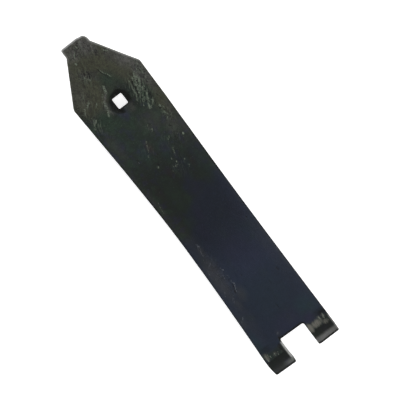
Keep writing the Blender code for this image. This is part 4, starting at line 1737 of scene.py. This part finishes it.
@dataclass
class Studio:
    """Plain white stage with a rounded rise at its edge, soft lamps, an even sky, and the camera."""

    floor_radius: float = 2.2
    rise_radius: float = 0.8
    wall_height: float = 1.6
    sky: float = 0.34
    section_steps: tuple[int, int] = (7, 12)
    section_start: float = 0.02
    stage_sides: int = 96
    target: tuple[float, float, float] = (0.01315, 0.006293, 0.015)
    distance: float = 0.404699
    tilt_across: float = 0.046481
    tilt_along: float = -0.091024
    roll: float = -0.003885
    focal_pixels: float = 390.1
    image_pixels: float = 420.0
    long_axis_in_photo: tuple[float, float] = (0.6032, 0.7976)
    sensor: float = 36.0
    nearest_seen: float = 0.01
    finish: StageFinish = field(default_factory=StageFinish)
    lamps: tuple[SoftLamp, ...] = (
        SoftLamp("key_from_the_top", (-0.62, 0.46, 0.64), 1.55, 50),
        SoftLamp("fill_from_the_right", (0.55, 0.25, 0.80), 0.55, 60),
    )

    def build_stage(self) -> None:
        """Turn the stage's section about Z: flat floor, quarter circle, and a straight wall."""
        flat_steps, bend_steps = self.section_steps
        bend = np.linspace(0, math.pi / 2, bend_steps + 1)
        floor = np.linspace(self.section_start, self.floor_radius, flat_steps + 1)[:-1]
        rise = self.floor_radius + self.rise_radius * np.sin(bend)
        radius = np.concatenate((floor, rise, rise[-1:]))
        height = np.concatenate((0 * floor, self.rise_radius * (1 - np.cos(bend)), [self.wall_height]))
        angle = np.linspace(0, 2 * math.pi, self.stage_sides + 1)[:-1]
        rings = np.stack((radius[:, None] * np.cos(angle), radius[:, None] * np.sin(angle),
                          np.broadcast_to(height[:, None], (len(height), len(angle)))), axis=2)
        count = len(angle)
        ids = np.arange(rings.shape[0] * count).reshape(-1, count)
        after = np.roll(ids, -1, axis=1)
        squares = np.stack((ids[:-1], ids[1:], after[1:], after[:-1]), axis=2).reshape(-1, 4)
        mesh = bpy.data.meshes.new("stage")
        mesh.from_pydata(rings.reshape(-1, 3).tolist(), [], squares.tolist() + [ids[0].tolist()])
        mesh.shade_smooth()
        stage = bpy.data.objects.new("stage", mesh)
        mesh.materials.append(self.finish.material())
        bpy.context.scene.collection.objects.link(stage)

    def build_light(self) -> None:
        """An even grey sky and the soft lamps."""
        world = bpy.data.worlds.new("even_sky")
        world.use_nodes = True
        sky = world.node_tree.nodes["Background"]
        sky.inputs["Color"].default_value = (self.sky, self.sky, self.sky, 1)
        bpy.context.scene.world = world
        for lamp in self.lamps:
            lamp.build()

    def build_camera(self) -> None:
        """The photograph's viewpoint, worked out from the plate's two long edges and its bow.

        The camera looks along the opposite of (sin b, sin a cos b, cos a cos b), where a and b are
        the tilts across and along the plate. The plate's long axis then lies in the picture along
        the direction that it has in the photograph.
        """
        a, b = self.tilt_across, self.tilt_along
        back = np.array([math.sin(b), math.sin(a) * math.cos(b), math.cos(a) * math.cos(b)])
        long = np.array([1.0, 0, 0]) - back[0] * back
        long /= np.linalg.norm(long)
        wide = np.cross(back, long)
        cos, sin = math.cos(self.roll), math.sin(self.roll)
        long, wide = cos * long - sin * wide, sin * long + cos * wide
        across_share, down_share = self.long_axis_in_photo
        right = across_share * long + down_share * wide
        up = -down_share * long + across_share * wide
        data = bpy.data.cameras.new("photo_camera")
        data.sensor_width = self.sensor
        data.lens = self.focal_pixels / self.image_pixels * self.sensor
        data.clip_start = self.nearest_seen
        camera = bpy.data.objects.new("photo_camera", data)
        place = Vector(self.target) + self.distance * Vector(back)
        camera.matrix_world = Matrix.Translation(place) @ Matrix((right, up, back)).transposed().to_4x4()
        bpy.context.scene.collection.objects.link(camera)
        bpy.context.scene.camera = camera

    def build(self) -> None:
        """Build the stage, the light and the camera, and set the plain view transform."""
        self.build_stage()
        self.build_light()
        self.build_camera()
        bpy.context.scene.view_settings.view_transform = "Standard"


def main() -> None:
    """Build the plate and its studio, and report each."""
    logging.basicConfig(level=logging.INFO, format="%(message)s")
    studio = Studio()
    studio.build()
    log.info("studio: %d lamps", len(studio.lamps))
    plate = PlateSurface().build()
    plate.data.materials.append(WornPaint().material())
    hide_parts(NODE)
    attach(plate, BODY)


if __name__ == "__main__":
    main()
